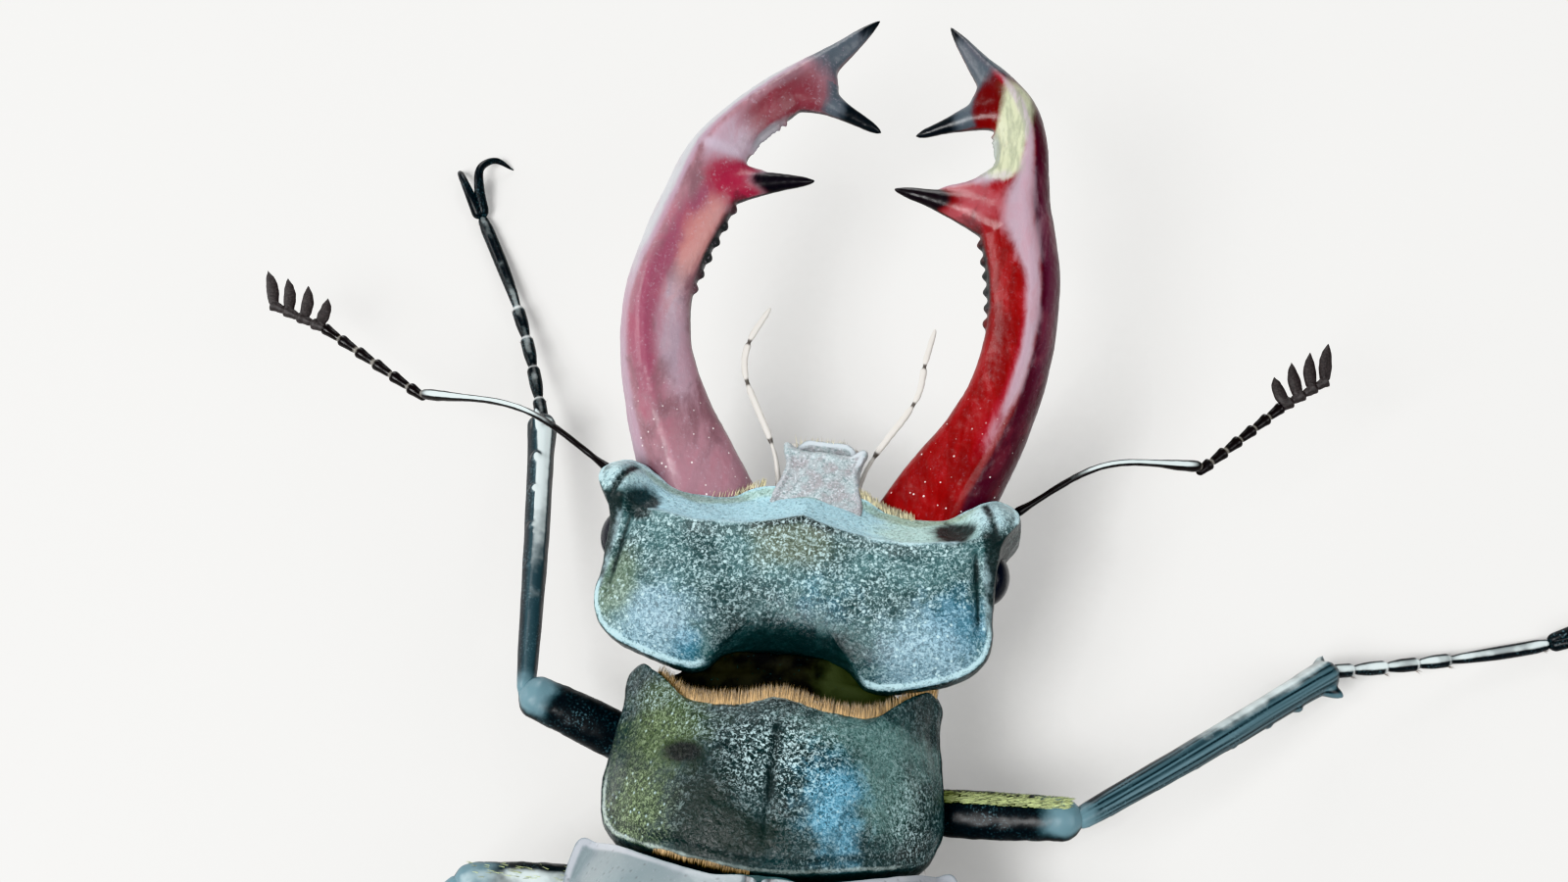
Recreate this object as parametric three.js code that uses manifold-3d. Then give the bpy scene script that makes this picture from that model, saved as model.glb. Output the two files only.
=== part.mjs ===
/**
 * A stag beetle (Lucanus cervus, major male), life size, standing on six feet.
 *
 * Units are millimetres. The beetle is built facing +Y with its right side at +X and the floor at
 * z = 0, and the whole group is turned at the end so that the head faces -Y and the origin lies
 * under the middle of its box. Each plate and limb segment is its own closed mesh, cut back from
 * its neighbours by the width of a joint.
 */
import * as THREE from 'three';
import { mergeVertices } from 'three/addons/utils/BufferGeometryUtils.js';
import Module from 'manifold-3d';

const wasm = await Module();
wasm.setup();

// ---- driving dimensions -------------------------------------------------------------------------

const JOINT_GAP = 0.22; // clearance between two plates or segments that meet
const HEAD_TOP = 3.5; // crown above the neck joint
const PRONOTUM_HALF = 8.6; // half the pronotum's width
const PRONOTUM_TOP = 15.2;
const PRONOTUM_EDGE = 9.6; // height of the pronotum's side margin
const UNDERSIDE = 9.0; // level at which the upper plates meet the under-body
const ELYTRON_HALF = 10.1; // width of one wing case
const ELYTRON_TIP = -34.6; // rear end of the wing cases
const ELYTRON_TOP = 16.9;
const ELYTRON_EDGE = 9.3;
const BELLY = 4.0; // lowest level of the sternum
const SUTURE = 0.13; // half the gap between the wing cases
const THIN_EDGE = 0.5; // thickness of a plate's thinnest margin
const JAW_LEAN = 2; // how far both jaw tips lie to the beetle's right
const SOLE = 0.44; // height of the middle of each foot's last joint above the floor

const NECK = new THREE.Vector3(0, 8.6, 9.8); // joint that the head turns about
const HEAD_TILT = { pitch: 8, yaw: -2, roll: -3 }; // degrees

const UP = new THREE.Vector3(0, 0, 1);
const degrees = THREE.MathUtils.degToRad;
const lerp = THREE.MathUtils.lerp;
const smoothstep = THREE.MathUtils.smoothstep;
const at = (x, y, z = 0) => new THREE.Vector3(x, y, z);

// ---- finishes -----------------------------------------------------------------------------------

const finish = (color, roughness, metalness = 0) =>
  new THREE.MeshStandardMaterial({ color, roughness, metalness });

const SHELL = finish(0x2b3b3c, 0.42, 0.15); // head, pronotum and under-body
const CLYPEUS = finish(0x7d7f8c, 0.45, 0.1);
const JAW = finish(0x7c1f22, 0.22, 0.05);
const WING_CASE = finish(0x3d1f22, 0.28, 0.05);
const LIMB = finish(0x1d2a2c, 0.3, 0.15);
const FEELER = finish(0x24201d, 0.4);
const PALP = finish(0xb39a6e, 0.5);
const EYE = finish(0x0b0f14, 0.08);

// ---- solids -------------------------------------------------------------------------------------

/** The closed solid of a three.js geometry. */
function solid(geometry) {
  const bare = geometry.index ? geometry.toNonIndexed() : geometry.clone();
  bare.deleteAttribute('normal');
  bare.deleteAttribute('uv');
  const merged = mergeVertices(bare, 1e-4);
  return new wasm.Manifold(
    new wasm.Mesh({
      numProp: 3,
      vertProperties: merged.attributes.position.array,
      triVerts: new Uint32Array(merged.index.array),
    }),
  );
}

/** The three.js geometry of a solid. */
function geometryOf(shape) {
  const { numProp, numVert, vertProperties, triVerts } = shape.getMesh();
  const positions = new Float32Array(numVert * 3);
  for (let i = 0; i < numVert; i++) {
    positions.set(vertProperties.subarray(i * numProp, i * numProp + 3), i * 3);
  }
  const geometry = new THREE.BufferGeometry();
  geometry.setAttribute('position', new THREE.BufferAttribute(positions, 3));
  geometry.setIndex(new THREE.BufferAttribute(triVerts, 1));
  geometry.computeVertexNormals();
  return geometry;
}

/** One solid of several that touch. */
const joined = (shapes) => shapes.reduce((whole, shape) => whole.add(shape));

/** The shares 0 to 1 in equal steps. */
const evenly = (steps) => Array.from({ length: steps + 1 }, (_, i) => i / steps);

/** The value of a profile [[share, value, ...], ...] at a share of its length. */
function sample(profile, share, column) {
  const next = profile.findIndex(([s]) => s >= share);
  if (next <= 0) return profile[next < 0 ? profile.length - 1 : 0][column];
  const [before, after] = [profile[next - 1], profile[next]];
  return lerp(before[column], after[column], (share - before[0]) / (after[0] - before[0]));
}

/** A geometry whose rings of vertices, each closed, are capped at both ends by a point. */
function skinned(first, rings, last) {
  const sides = rings[0].length;
  const points = [first, ...rings.flat(), last];
  const end = points.length - 1;
  const faces = [];
  for (let j = 0; j < sides; j++) {
    const k = (j + 1) % sides;
    faces.push(0, 1 + j, 1 + k);
    for (let i = 0; i + 1 < rings.length; i++) {
      const [a, b] = [1 + i * sides, 1 + (i + 1) * sides];
      faces.push(a + j, b + j, b + k, a + j, b + k, a + k);
    }
    const tail = 1 + (rings.length - 1) * sides;
    faces.push(tail + j, end, tail + k);
  }
  return new THREE.BufferGeometry().setFromPoints(points).setIndex(faces);
}

/** An even section: points [across, up] of an oval, each within -1 to 1. */
const oval = (sides) =>
  Array.from({ length: sides }, (_, j) => {
    const angle = (2 * Math.PI * (j + 0.5)) / sides;
    return [Math.cos(angle), Math.sin(angle)];
  });

/**
 * A limb, tooth or horn: a section swept along a smooth line.
 * profile is [[share of the line, half width, half height], ...], and grow swells it all round.
 * It has a ring at each share of the profile, or at even steps if their number is given.
 */
function limb(points, profile, { section = oval(6), steps, grow = 0 } = {}) {
  const line = new THREE.CatmullRomCurve3(points, false, 'centripetal');
  const shares = steps ? evenly(steps) : profile.map(([share]) => share);
  const rings = shares.map((share) => {
    const along = line.getTangentAt(share);
    const side = along.clone().cross(UP).normalize();
    const top = side.clone().cross(along);
    const past = grow * (Math.sign(share - 1) + Math.sign(share));
    const centre = line.getPointAt(share).addScaledVector(along, past);
    const [half, high] = [1, 2].map((column) => sample(profile, share, column) + grow);
    return section.map(([across, up]) =>
      centre.clone().addScaledVector(side, half * across).addScaledVector(top, high * up),
    );
  });
  const middle = (ring) => ring.reduce((sum, p) => sum.add(p), at(0, 0)).divideScalar(ring.length);
  return solid(skinned(middle(rings[0]), rings, middle(rings[rings.length - 1])));
}

/** A profile of flared joints, narrow at each start and wide at each end. */
const jointed = (shares, radius) =>
  shares.slice(1).flatMap((share, i) => [
    [i === 0 ? 0 : shares[i] + 0.015, radius * 0.75, radius * 0.75],
    [share, radius * 1.12, radius * 1.12],
  ]);

/**
 * A body plate: a closed outline in plan, with heights top(x, y, rim) and bottom(x, y, rim), where
 * rim runs from 0 at the middle to 1 at the outline. above and below list the rims of its rings.
 */
function plate(outline, centre, top, bottom, { above = [0.5, 0.85, 1], below = [1], grow = 0 } = {}) {
  const ring = (rim, height, lift) =>
    outline.map((p) => {
      const reach = 1 + grow / Math.hypot(p.x - centre.x, p.y - centre.y);
      const [x, y] = [lerp(centre.x, p.x, rim), lerp(centre.y, p.y, rim)];
      return at(lerp(centre.x, x, reach), lerp(centre.y, y, reach), height(x, y, rim) + lift);
    });
  const middle = (height, lift) => at(centre.x, centre.y, height(centre.x, centre.y, 0) + lift);
  const upper = above.map((rim) => ring(rim, top, grow));
  const lower = below.map((rim) => ring(rim, bottom, -grow));
  return solid(skinned(middle(bottom, -grow), [...lower, ...upper.reverse()], middle(top, grow)));
}

/** A right-hand half outline, from the front of the midline to its rear, closed by its mirror. */
const symmetric = (half) =>
  [...half, ...half.filter(([x]) => x > 0).reverse().map(([x, y]) => [-x, y])].map(([x, y]) => at(x, y));

/** A soft round hill of height 1 at (x0, y0). */
const hill = (x, y, x0, y0, spread) => Math.exp(-((x - x0) ** 2 + (y - y0) ** 2) / spread ** 2);

/** An oval ball. */
function ball(centre, radii, grow = 0) {
  const sphere = new THREE.SphereGeometry(1, 10, 6);
  sphere.scale(radii.x + grow, radii.y + grow, radii.z + grow);
  sphere.translate(centre.x, centre.y, centre.z);
  return solid(sphere);
}

// ---- the scene graph ----------------------------------------------------------------------------

const beetle = new THREE.Group();
const head = new THREE.Group();
head.position.copy(NECK);
head.rotation.set(degrees(HEAD_TILT.pitch), degrees(HEAD_TILT.roll), degrees(HEAD_TILT.yaw), 'ZXY');
beetle.add(head);

const pieces = new Map(); // name -> { mesh, shape, neighbours }

/** Adds a named piece. shape(grow) makes its solid, and neighbours are what it is cut back from. */
function piece(group, name, material, shape, neighbours = []) {
  const mesh = new THREE.Mesh(undefined, material);
  mesh.name = name;
  group.add(mesh);
  pieces.set(name, { mesh, shape, neighbours });
  return mesh;
}

const SIDES = [
  { word: 'left', sign: -1 },
  { word: 'right', sign: 1 },
];
const mirrored = (sign) => (x, y, z = 0) => at(sign * x, y, z);

// ---- head ---------------------------------------------------------------------------------------

const HEAD_OUTLINE = symmetric([
  [0, 10.9], [2.5, 10.8], [4.6, 10.1], [6.3, 10.1], [7.8, 10.7], [9.4, 11.35], [10.6, 10.95], [10.9, 10],
  [10.1, 8.4], [10, 6.8], [10.05, 5.2], [10.2, 3.8], [9.8, 2.5], [8.7, 1.6], [7.2, 1.05], [5.4, 0.6],
  [4.2, 0.65], [3.1, 1.6], [0, 2.1],
]);
const crestAt = (x) => 8.7 - 0.85 * Math.sin(Math.min(Math.abs(x) / 9.5, 1) * Math.PI);

/** The crown: swollen rear lobes, a hollow between them, and a crest with a slope before it. */
function crownHeight(x, y, rim) {
  const lobes = 0.45 * (hill(x, y, 6.6, 3.4, 3.2) + hill(x, y, -6.6, 3.4, 3.2));
  const hollow = 1.1 * hill(x, y, 0, 1.2, 2.4);
  const knobs = 1.9 * (hill(x, y, 9.7, 10.3, 1.4) + hill(x, y, -9.7, 10.3, 1.4));
  const slope = Math.max(0, y - crestAt(x)) * 1.25;
  const rounding = lerp(1.6, 0.2, smoothstep(y, 7.5, 9.5)) * rim ** 7;
  return HEAD_TOP + lobes - hollow + knobs - slope - rounding;
}

/** The underside is deep in front, where the jaws hinge, and tucks up behind to a thin rim. */
const gulaHeight = (x, y, rim) => -3.9 + lerp(4.9, 1.9, smoothstep(y, 4, 9)) * rim ** 4;

piece(
  head,
  'head',
  SHELL,
  (grow) =>
    plate(HEAD_OUTLINE, at(0, 5.4), crownHeight, gulaHeight, {
      above: [0.3, 0.52, 0.74, 0.92, 1],
      below: [0.72, 1],
      grow,
    }),
  ['eye_left', 'eye_right', 'pronotum'],
);

const CLYPEUS_SHIFT = 0.35; // towards the beetle's right
const shifted = (outline) => outline.map(({ x, y }) => at(x + CLYPEUS_SHIFT, y));
const CLYPEUS_OUTLINE = shifted(
  symmetric([[0, 13.1], [1.3, 13.1], [2.1, 13.5], [1.85, 12.2], [2.3, 9.4], [0, 9.4]]),
);
piece(
  head,
  'clypeus',
  CLYPEUS,
  (grow) =>
    plate(CLYPEUS_OUTLINE, at(CLYPEUS_SHIFT, 11), (x, y) => 1.25 - 0.3 * (y - 10), () => -0.5, {
      above: [1],
      grow,
    }),
  ['head'],
);
const LABRUM_OUTLINE = shifted(symmetric([[0, 14], [1.2, 13.9], [1.7, 13.1], [1.6, 10.8], [0, 10.6]]));
piece(
  head,
  'labrum',
  CLYPEUS,
  (grow) =>
    plate(LABRUM_OUTLINE, at(CLYPEUS_SHIFT, 12), (x, y) => -0.2 - 0.25 * (y - 12), () => -1.2, {
      above: [1],
      grow,
    }),
  ['head', 'clypeus'],
);
const MENTUM_OUTLINE = symmetric([[0, 11.8], [2.4, 11.4], [3.6, 9], [3.2, 6], [0, 5.4]]);
piece(
  head,
  'mentum',
  SHELL,
  (grow) =>
    plate(MENTUM_OUTLINE, at(0, 8.6), () => -2.6, (x, y, rim) => -4.9 + 0.6 * rim ** 3, {
      above: [1],
      below: [1],
      grow,
    }),
  ['head'],
);

for (const { word, sign } of SIDES) {
  const p = mirrored(sign);
  piece(head, `eye_${word}`, EYE, (grow) => ball(p(9.5, 7.5, 0), at(1.2, 1.45, 1.3), grow));
}

// ---- jaws ---------------------------------------------------------------------------------------

const JAW_LINE = [
  [5.6, 8.6, -1.4], [6.9, 12, -1], [8.4, 15, -0.4], [9.4, 18, 0.1], [9.75, 21, 0.5], [9.5, 24, 0.8],
  [8.8, 27, 1], [8.45, 29, 1.05], [7.7, 30.9, 1.05], [6.5, 32.6, 1], [5.2, 34.2, 0.9], [3.7, 35.9, 0.7],
  [1.9, 38.05, 0.4],
];
const JAW_PROFILE = [
  [0, 3.2, 2.1], [0.113, 2.65, 2.1], [0.217, 2.2, 2], [0.316, 1.92, 1.85], [0.41, 1.85, 1.75],
  [0.5, 1.95, 1.65], [0.59, 2, 1.55], [0.66, 1.6, 1.35], [0.72, 1.35, 1.2], [0.785, 1.35, 1.15],
  [0.85, 1.05, 0.95], [0.916, 0.62, 0.62], [1, 0.2, 0.2],
];
// [outwards, up]: a ridge along the top, steep outside and sloping to the inner edge
const JAW_SECTION = [
  [1, -0.05], [0.72, 0.6], [0.25, 1], [-0.4, 0.78], [-0.95, 0.3], [-0.9, -0.45], [-0.3, -0.95], [0.6, -0.8],
];
const JAW_STEPS = 16;
const INNER_TOOTH = [[8.7, 26.4, 1], [6.4, 27.2, 1.1], [4.2, 27.65, 1.1], [2.1, 28, 1]];
const INNER_TOOTH_PROFILE = [[0, 1.4, 1.3], [0.4, 0.95, 0.9], [0.7, 0.5, 0.5], [1, 0.2, 0.2]];
const FORK_TOOTH = [[6.1, 33, 1], [4.4, 32.8, 0.9], [2.8, 32.15, 0.7], [1, 31.4, 0.4]];
const FORK_TOOTH_PROFILE = [[0, 1.1, 0.95], [0.35, 0.8, 0.75], [0.65, 0.45, 0.45], [1, 0.2, 0.2]];
const FORK_WEB = [[4.7, 34.8, 0.85], [4.1, 32.9, 0.85]]; // fills the notch between the two points
const FORK_WEB_PROFILE = [[0, 0.75, 0.7], [1, 0.75, 0.7]];
const BAY_WEBS = { // fill the corner between the inner tooth and the beam beyond it
  left: [[8.6, 28.3, 1], [7.2, 28, 1.05], [4.4, 27.95, 1.05]],
  right: [[8.8, 28.6, 1], [7.2, 28.3, 1.05], [4.4, 28.1, 1.05]],
};
const BAY_WEB_PROFILES = {
  left: [[0, 1.4, 1], [0.35, 0.95, 0.85], [0.65, 0.5, 0.6], [1, 0.25, 0.25]],
  right: [[0, 1.9, 1], [0.35, 1.45, 0.85], [0.65, 0.65, 0.6], [1, 0.25, 0.25]],
};
const DENTICLES = { from: 0.42, to: 0.57, count: 5, length: 0.4, radius: 0.42 }; // before the inner tooth
const BAY_DENTICLES = { from: 0.69, to: 0.755, count: 3, length: 0.2, radius: 0.28 }; // beyond it

/** Blunt bumps along a jaw's inner edge. */
function denticles(line, inward, { from, to, count, length, radius }, grow) {
  return Array.from({ length: count }, (_, i) => {
    const share = lerp(from, to, i / (count - 1));
    const across = line.getTangentAt(share).cross(UP).normalize().multiplyScalar(inward);
    const half = sample(JAW_PROFILE, share, 1);
    const [root, tip] = [0.55, 1].map((depth) =>
      line.getPointAt(share).addScaledVector(across, half * depth + length * depth ** 4),
    );
    return limb([root, tip], [[0, radius * 1.3, radius * 1.2], [1, radius * 0.6, radius * 0.6]], {
      section: oval(4),
      grow,
    });
  });
}

for (const { word, sign } of SIDES) {
  const straight = ([x, y, z]) => at(sign * x, y, z);
  const bow = (y) => 0.8 * Math.exp(-(((y - 26.5) / 4) ** 2)) + 0.5 * smoothstep(-y, -12, -8);
  const inset = (y) => (sign > 0 ? 0 : bow(y)); // the left jaw lies nearer to the middle
  const lean = (x, y) => JAW_LEAN * smoothstep(y - 0.35 * (x - 9.6), 27, 36);
  const leaning = ([x, y, z]) => at(sign * x + lean(x, y) + inset(y), y, z);
  const section = sign > 0 ? JAW_SECTION : JAW_SECTION.map(([across, up]) => [-across, up]).reverse();
  piece(
    head,
    `mandible_${word}`,
    JAW,
    (grow) => {
      const points = JAW_LINE.map(leaning);
      const line = new THREE.CatmullRomCurve3(points, false, 'centripetal');
      return joined([
        limb(points, JAW_PROFILE, { section, steps: JAW_STEPS, grow }),
        limb(INNER_TOOTH.map(straight), INNER_TOOTH_PROFILE, { grow }),
        limb(FORK_TOOTH.map(leaning), FORK_TOOTH_PROFILE, { grow }),
        limb(FORK_WEB.map(leaning), FORK_WEB_PROFILE, { section: oval(5), grow }),
        limb(BAY_WEBS[word].map(straight), BAY_WEB_PROFILES[word], { section: oval(5), grow }),
        ...denticles(line, -sign, DENTICLES, grow),
        ...denticles(line, -sign, BAY_DENTICLES, grow),
      ]);
    },
    ['head', 'clypeus', 'mentum'],
  );
}

// ---- feelers and palps --------------------------------------------------------------------------

const FEELERS = {
  left: {
    root: at(-10.8, 11.1, -0.9),
    elbow: at(-22.6, 15.4, -4.6),
    club: at(-28.9, 18.8, -5.4),
    tip: at(-32.3, 19.9, -5.4),
  },
  right: {
    root: at(10.5, 11.3, -0.9),
    elbow: at(19.9, 16.1, -4.6),
    club: at(23.9, 20.2, -5.3),
    tip: at(26.3, 22.1, -5.3),
  },
};
const SCAPE_BOW = 1.1; // how far the first joint arches
const SCAPE_PROFILE = [
  [0, 0.42, 0.42], [0.12, 0.3, 0.3], [0.7, 0.32, 0.32], [0.93, 0.48, 0.48], [1, 0.34, 0.34],
];
const FUNICLE_BEADS = 6;
const FUNICLE_RADIUS = 0.34;
const LEAVES = [1.6, 1.8, 1.9, 2]; // lengths of the club's leaves, root to tip
const LEAF_PROFILE = [[0, 0.34, 0.3], [1, 0.26, 0.26]];

for (const { word, sign } of SIDES) {
  const { root, elbow, club, tip } = FEELERS[word];
  const rise = root.clone().lerp(elbow, 0.45).add(at(0, SCAPE_BOW, SCAPE_BOW));
  piece(
    head,
    `scape_${word}`,
    FEELER,
    (grow) => limb([root, rise, elbow], SCAPE_PROFILE, { steps: 7, grow }),
    ['head', `eye_${word}`, `mandible_${word}`],
  );
  piece(
    head,
    `funicle_${word}`,
    FEELER,
    (grow) => limb([elbow, club], jointed(evenly(FUNICLE_BEADS), FUNICLE_RADIUS), { section: oval(5), grow }),
    [`scape_${word}`],
  );
  piece(
    head,
    `club_${word}`,
    FEELER,
    (grow) => {
      const forward = tip.clone().sub(club).normalize();
      const comb = UP.clone().cross(forward).multiplyScalar(sign);
      const leaves = LEAVES.map((length, i) => {
        const foot = club.clone().lerp(tip, 0.12 + 0.27 * i);
        const end = foot.clone().addScaledVector(comb, length).addScaledVector(forward, 0.2 + 0.2 * i);
        return limb([foot, end], LEAF_PROFILE, { section: oval(4), grow });
      });
      const beads = jointed(evenly(LEAVES.length), FUNICLE_RADIUS);
      const stem = limb([club, tip], beads, { section: oval(5), grow });
      return joined([stem, ...leaves]);
    },
    [`funicle_${word}`],
  );
}

const MAXILLARY_PALPS = {
  left: [[-1.9, 10.9, -1.9], [-2.4, 13.2, -1.3], [-4.6, 17.5, -0.8], [-4.6, 19, -0.6], [-3.7, 21.1, -0.5]],
  right: [[1.9, 10.9, -1.9], [2.6, 13.2, -1.3], [4.7, 17.1, -0.8], [4.9, 19, -0.6], [5.2, 20.9, -0.5]],
};
const LABIAL_PALP = [[0.9, 11.4, -3.7], [1.2, 13.1, -3.6], [1.7, 14.6, -3.3]];
const MAXILLARY_PROFILE = [
  [0, 0.36, 0.36], [0.3, 0.27, 0.27], [0.56, 0.34, 0.34], [0.62, 0.26, 0.26], [0.9, 0.32, 0.32],
  [1, 0.25, 0.25],
];
const LABIAL_PROFILE = [[0, 0.4, 0.4], [0.6, 0.28, 0.28], [1, 0.25, 0.25]];
for (const { word, sign } of SIDES) {
  const p = mirrored(sign);
  piece(
    head,
    `maxillary_palp_${word}`,
    PALP,
    (grow) => {
      const line = MAXILLARY_PALPS[word].map((point) => at(...point));
      return limb(line, MAXILLARY_PROFILE, { section: oval(5), steps: 8, grow });
    },
    ['head', 'clypeus', 'labrum', 'mentum'],
  );
  piece(
    head,
    `labial_palp_${word}`,
    PALP,
    (grow) => limb(LABIAL_PALP.map((point) => p(...point)), LABIAL_PROFILE, { section: oval(5), grow }),
    ['mentum'],
  );
}

// ---- thorax -------------------------------------------------------------------------------------

const PRONOTUM_OUTLINE = symmetric([
  [0, 7.1], [2.2, 6.6], [4.4, 6.8], [6.1, 8.1], [7.35, 9.4], [7.95, 9.1], [8, 7.6], [8.35, 5.4], [8.6, 3.2],
  [8.45, 1.8], [7.9, 0.6], [6.7, -0.3], [3.3, -1.5], [0, -1.9],
]);
const pronotumTop = (x, y, rim) =>
  PRONOTUM_EDGE +
  (PRONOTUM_TOP - PRONOTUM_EDGE) * (1 - Math.abs(x / PRONOTUM_HALF) ** 2.7) -
  0.035 * Math.min(Math.abs(y - 2.5), 4.6) ** 2 * (1 - (x / 12) ** 2) -
  0.45 * rim ** 9;
piece(beetle, 'pronotum', SHELL, (grow) =>
  plate(PRONOTUM_OUTLINE, at(0, 1.4), pronotumTop, () => UNDERSIDE, {
    above: [0.3, 0.6, 0.84, 0.95, 1],
    grow,
  }),
);

piece(
  beetle,
  'neck',
  SHELL,
  (grow) =>
    limb([at(0, 4.4, 9.7), at(0, 7.4, 10), at(0, 10.4, 10.2)], [[0, 5.4, 3.2], [1, 4.4, 2.8]], {
      section: oval(8),
      grow,
    }),
  ['head', 'pronotum', 'prosternum'],
);

const PROSTERNUM_OUTLINE = symmetric([
  [0, 6.6], [4.4, 6.2], [7, 7], [7.9, 3.4], [7.4, 0.8], [4, -0.6], [0, -1],
]);
piece(
  beetle,
  'prosternum',
  SHELL,
  (grow) =>
    plate(
      PROSTERNUM_OUTLINE,
      at(0, 2.6),
      () => UNDERSIDE - JOINT_GAP,
      (x, y, rim) => BELLY + 0.6 + 2.6 * rim ** 3,
      { above: [1], below: [0.72, 1], grow },
    ),
  ['coxa_fore_left', 'coxa_fore_right', 'femur_fore_left', 'femur_fore_right'],
);

const SCUTELLUM_OUTLINE = symmetric([[0, -2.2], [2, -2.4], [2.2, -3.6], [1.3, -5.6], [0, -6.6]]);
const scutellumTop = (x, y) => 15.3 - 0.08 * x * x - 0.05 * (y + 6) ** 2;
piece(
  beetle,
  'scutellum',
  SHELL,
  (grow) => plate(SCUTELLUM_OUTLINE, at(0, -3.9), scutellumTop, () => UNDERSIDE, { above: [0.6, 1], grow }),
  ['pronotum'],
);

const STERNUM_OUTLINE = symmetric([
  [0, -1.8], [4.6, -1.4], [7.6, -1.2], [8.8, -3.6], [9.1, -8], [9, -12.5], [8.5, -15.5], [4.4, -15.8],
  [0, -15.9],
]);
piece(
  beetle,
  'metasternum',
  SHELL,
  (grow) =>
    plate(
      STERNUM_OUTLINE,
      at(0, -9),
      () => UNDERSIDE - JOINT_GAP,
      (x, y, rim) => BELLY + 2.8 * rim ** 3,
      { above: [1], below: [0.72, 1], grow },
    ),
  ['mid_left', 'mid_right', 'hind_left', 'hind_right'].flatMap((leg) => [`coxa_${leg}`, `femur_${leg}`]),
);

// ---- wing cases and abdomen ---------------------------------------------------------------------

/** A wing case: domed across, with a low shoulder hump, and falling away to its tip. */
function elytronTop(x, y, rim) {
  const across = 1 - Math.abs(x / ELYTRON_HALF) ** 2.7;
  const along = 1 - 0.9 * Math.max(0, (-18 - y) / 17) ** 2.6;
  const shoulder = 0.5 * hill(Math.abs(x), y, 8.2, -3, 2.2);
  const front = 0.045 * Math.max(0, y + 7) ** 2;
  const dome = (ELYTRON_TOP - ELYTRON_EDGE) * across * along;
  return Math.max(ELYTRON_EDGE + dome + shoulder - front - 0.3 * rim ** 8, UNDERSIDE + THIN_EDGE);
}

for (const { word, sign } of SIDES) {
  const p = mirrored(sign);
  const outline = [
    p(SUTURE, -2.8), p(2.6, -2.6), p(5.6, -1.5), p(8.1, -0.1), p(9.3, 0.3), p(9.8, -0.9), p(10, -4),
    p(10.1, -8), p(10.1, -13), p(9.95, -18), p(9.5, -22.5), p(8.7, -26.7), p(7.3, -30.2), p(5.4, -32.8),
    p(3, -34.3), p(1, ELYTRON_TIP), p(SUTURE, ELYTRON_TIP + 0.5), p(SUTURE, -30), p(SUTURE, -25),
    p(SUTURE, -20), p(SUTURE, -15), p(SUTURE, -10), p(SUTURE, -6),
  ];
  if (sign < 0) outline.reverse();
  piece(
    beetle,
    `elytron_${word}`,
    WING_CASE,
    (grow) =>
      plate(outline, p(4.6, -15), elytronTop, () => UNDERSIDE, { above: [0.35, 0.65, 0.86, 0.96, 1], grow }),
    ['scutellum', 'pronotum'],
  );
}

// [y, half width] at the borders of the belly's visible rings
const VENTRITE_EDGES = [[-16.6, 8.6], [-20, 8.5], [-23.2, 8.1], [-26.4, 7.3], [-29.6, 5.8], [-33, 3]];
piece(
  beetle,
  'abdomen',
  SHELL,
  (grow) =>
    joined(
      VENTRITE_EDGES.slice(1).map(([rear, narrow], i) => {
        const [front, wide] = [VENTRITE_EDGES[i][0] + 0.35, VENTRITE_EDGES[i][1]];
        return plate(
          symmetric([[0, front], [wide, front], [narrow * 1.02, rear], [0, rear - 0.4]]),
          at(0, (front + rear) / 2),
          () => UNDERSIDE - JOINT_GAP,
          (x, y, rim) => BELLY + 0.3 * i + 0.04 * (front - y) * i + 2.4 * rim ** 3,
          { above: [1], below: [0.65, 1], grow },
        );
      }),
    ),
  ['coxa_hind_left', 'coxa_hind_right', 'femur_hind_left', 'femur_hind_right'],
);

// ---- legs ---------------------------------------------------------------------------------------

const LEGS = {
  fore_left: {
    coxa: at(-1.2, 3, 5.3),
    hip: at(-4.8, 5.3, 5.7),
    knee: at(-13.35, 8.05, 8.4),
    ankle: at(-15.5, 26.1, 3.4),
    toe: at(-21.2, 40, SOLE),
  },
  fore_right: {
    coxa: at(1.2, 3, 5.3),
    hip: at(5, 4.5, 5.9),
    knee: at(15.4, 4.1, 8.6),
    ankle: at(29.1, 15.4, 2.9),
    toe: at(41.2, 19.5, SOLE),
  },
  mid_left: {
    coxa: at(-1.5, -3.4, 4.9),
    hip: at(-5.2, -1.4, 5.7),
    knee: at(-15, -2.8, 9.9),
    ankle: at(-24.6, -13.1, 2.9),
    toe: at(-33.6, -21.8, SOLE),
  },
  mid_right: {
    coxa: at(1.5, -3.6, 4.9),
    hip: at(5.2, -3, 5.7),
    knee: at(15, -6.2, 9.7),
    ankle: at(24.6, -16.4, 2.9),
    toe: at(32.8, -26, SOLE),
  },
  hind_left: {
    coxa: at(-1.4, -13.4, 4.7),
    hip: at(-5, -14.6, 5.3),
    knee: at(-14.2, -21.4, 9.4),
    ankle: at(-20.6, -35.8, 2.9),
    toe: at(-25, -47.6, SOLE),
  },
  hind_right: {
    coxa: at(1.4, -13.4, 4.7),
    hip: at(5, -14.8, 5.3),
    knee: at(14.6, -21, 9.4),
    ankle: at(21.8, -34.8, 2.9),
    toe: at(27.4, -46, SOLE),
  },
};
const COXA_PROFILE = [[0, 0.9, 0.8], [0.4, 1.6, 1.3], [0.85, 1.5, 1.2], [1, 0.9, 0.8]];
const FEMUR_PROFILE = [
  [0, 0.9, 0.8], [0.15, 1.15, 1], [0.5, 1.25, 1.05], [0.85, 1.15, 1], [0.96, 1, 0.9], [1, 0.6, 0.55],
];
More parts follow.
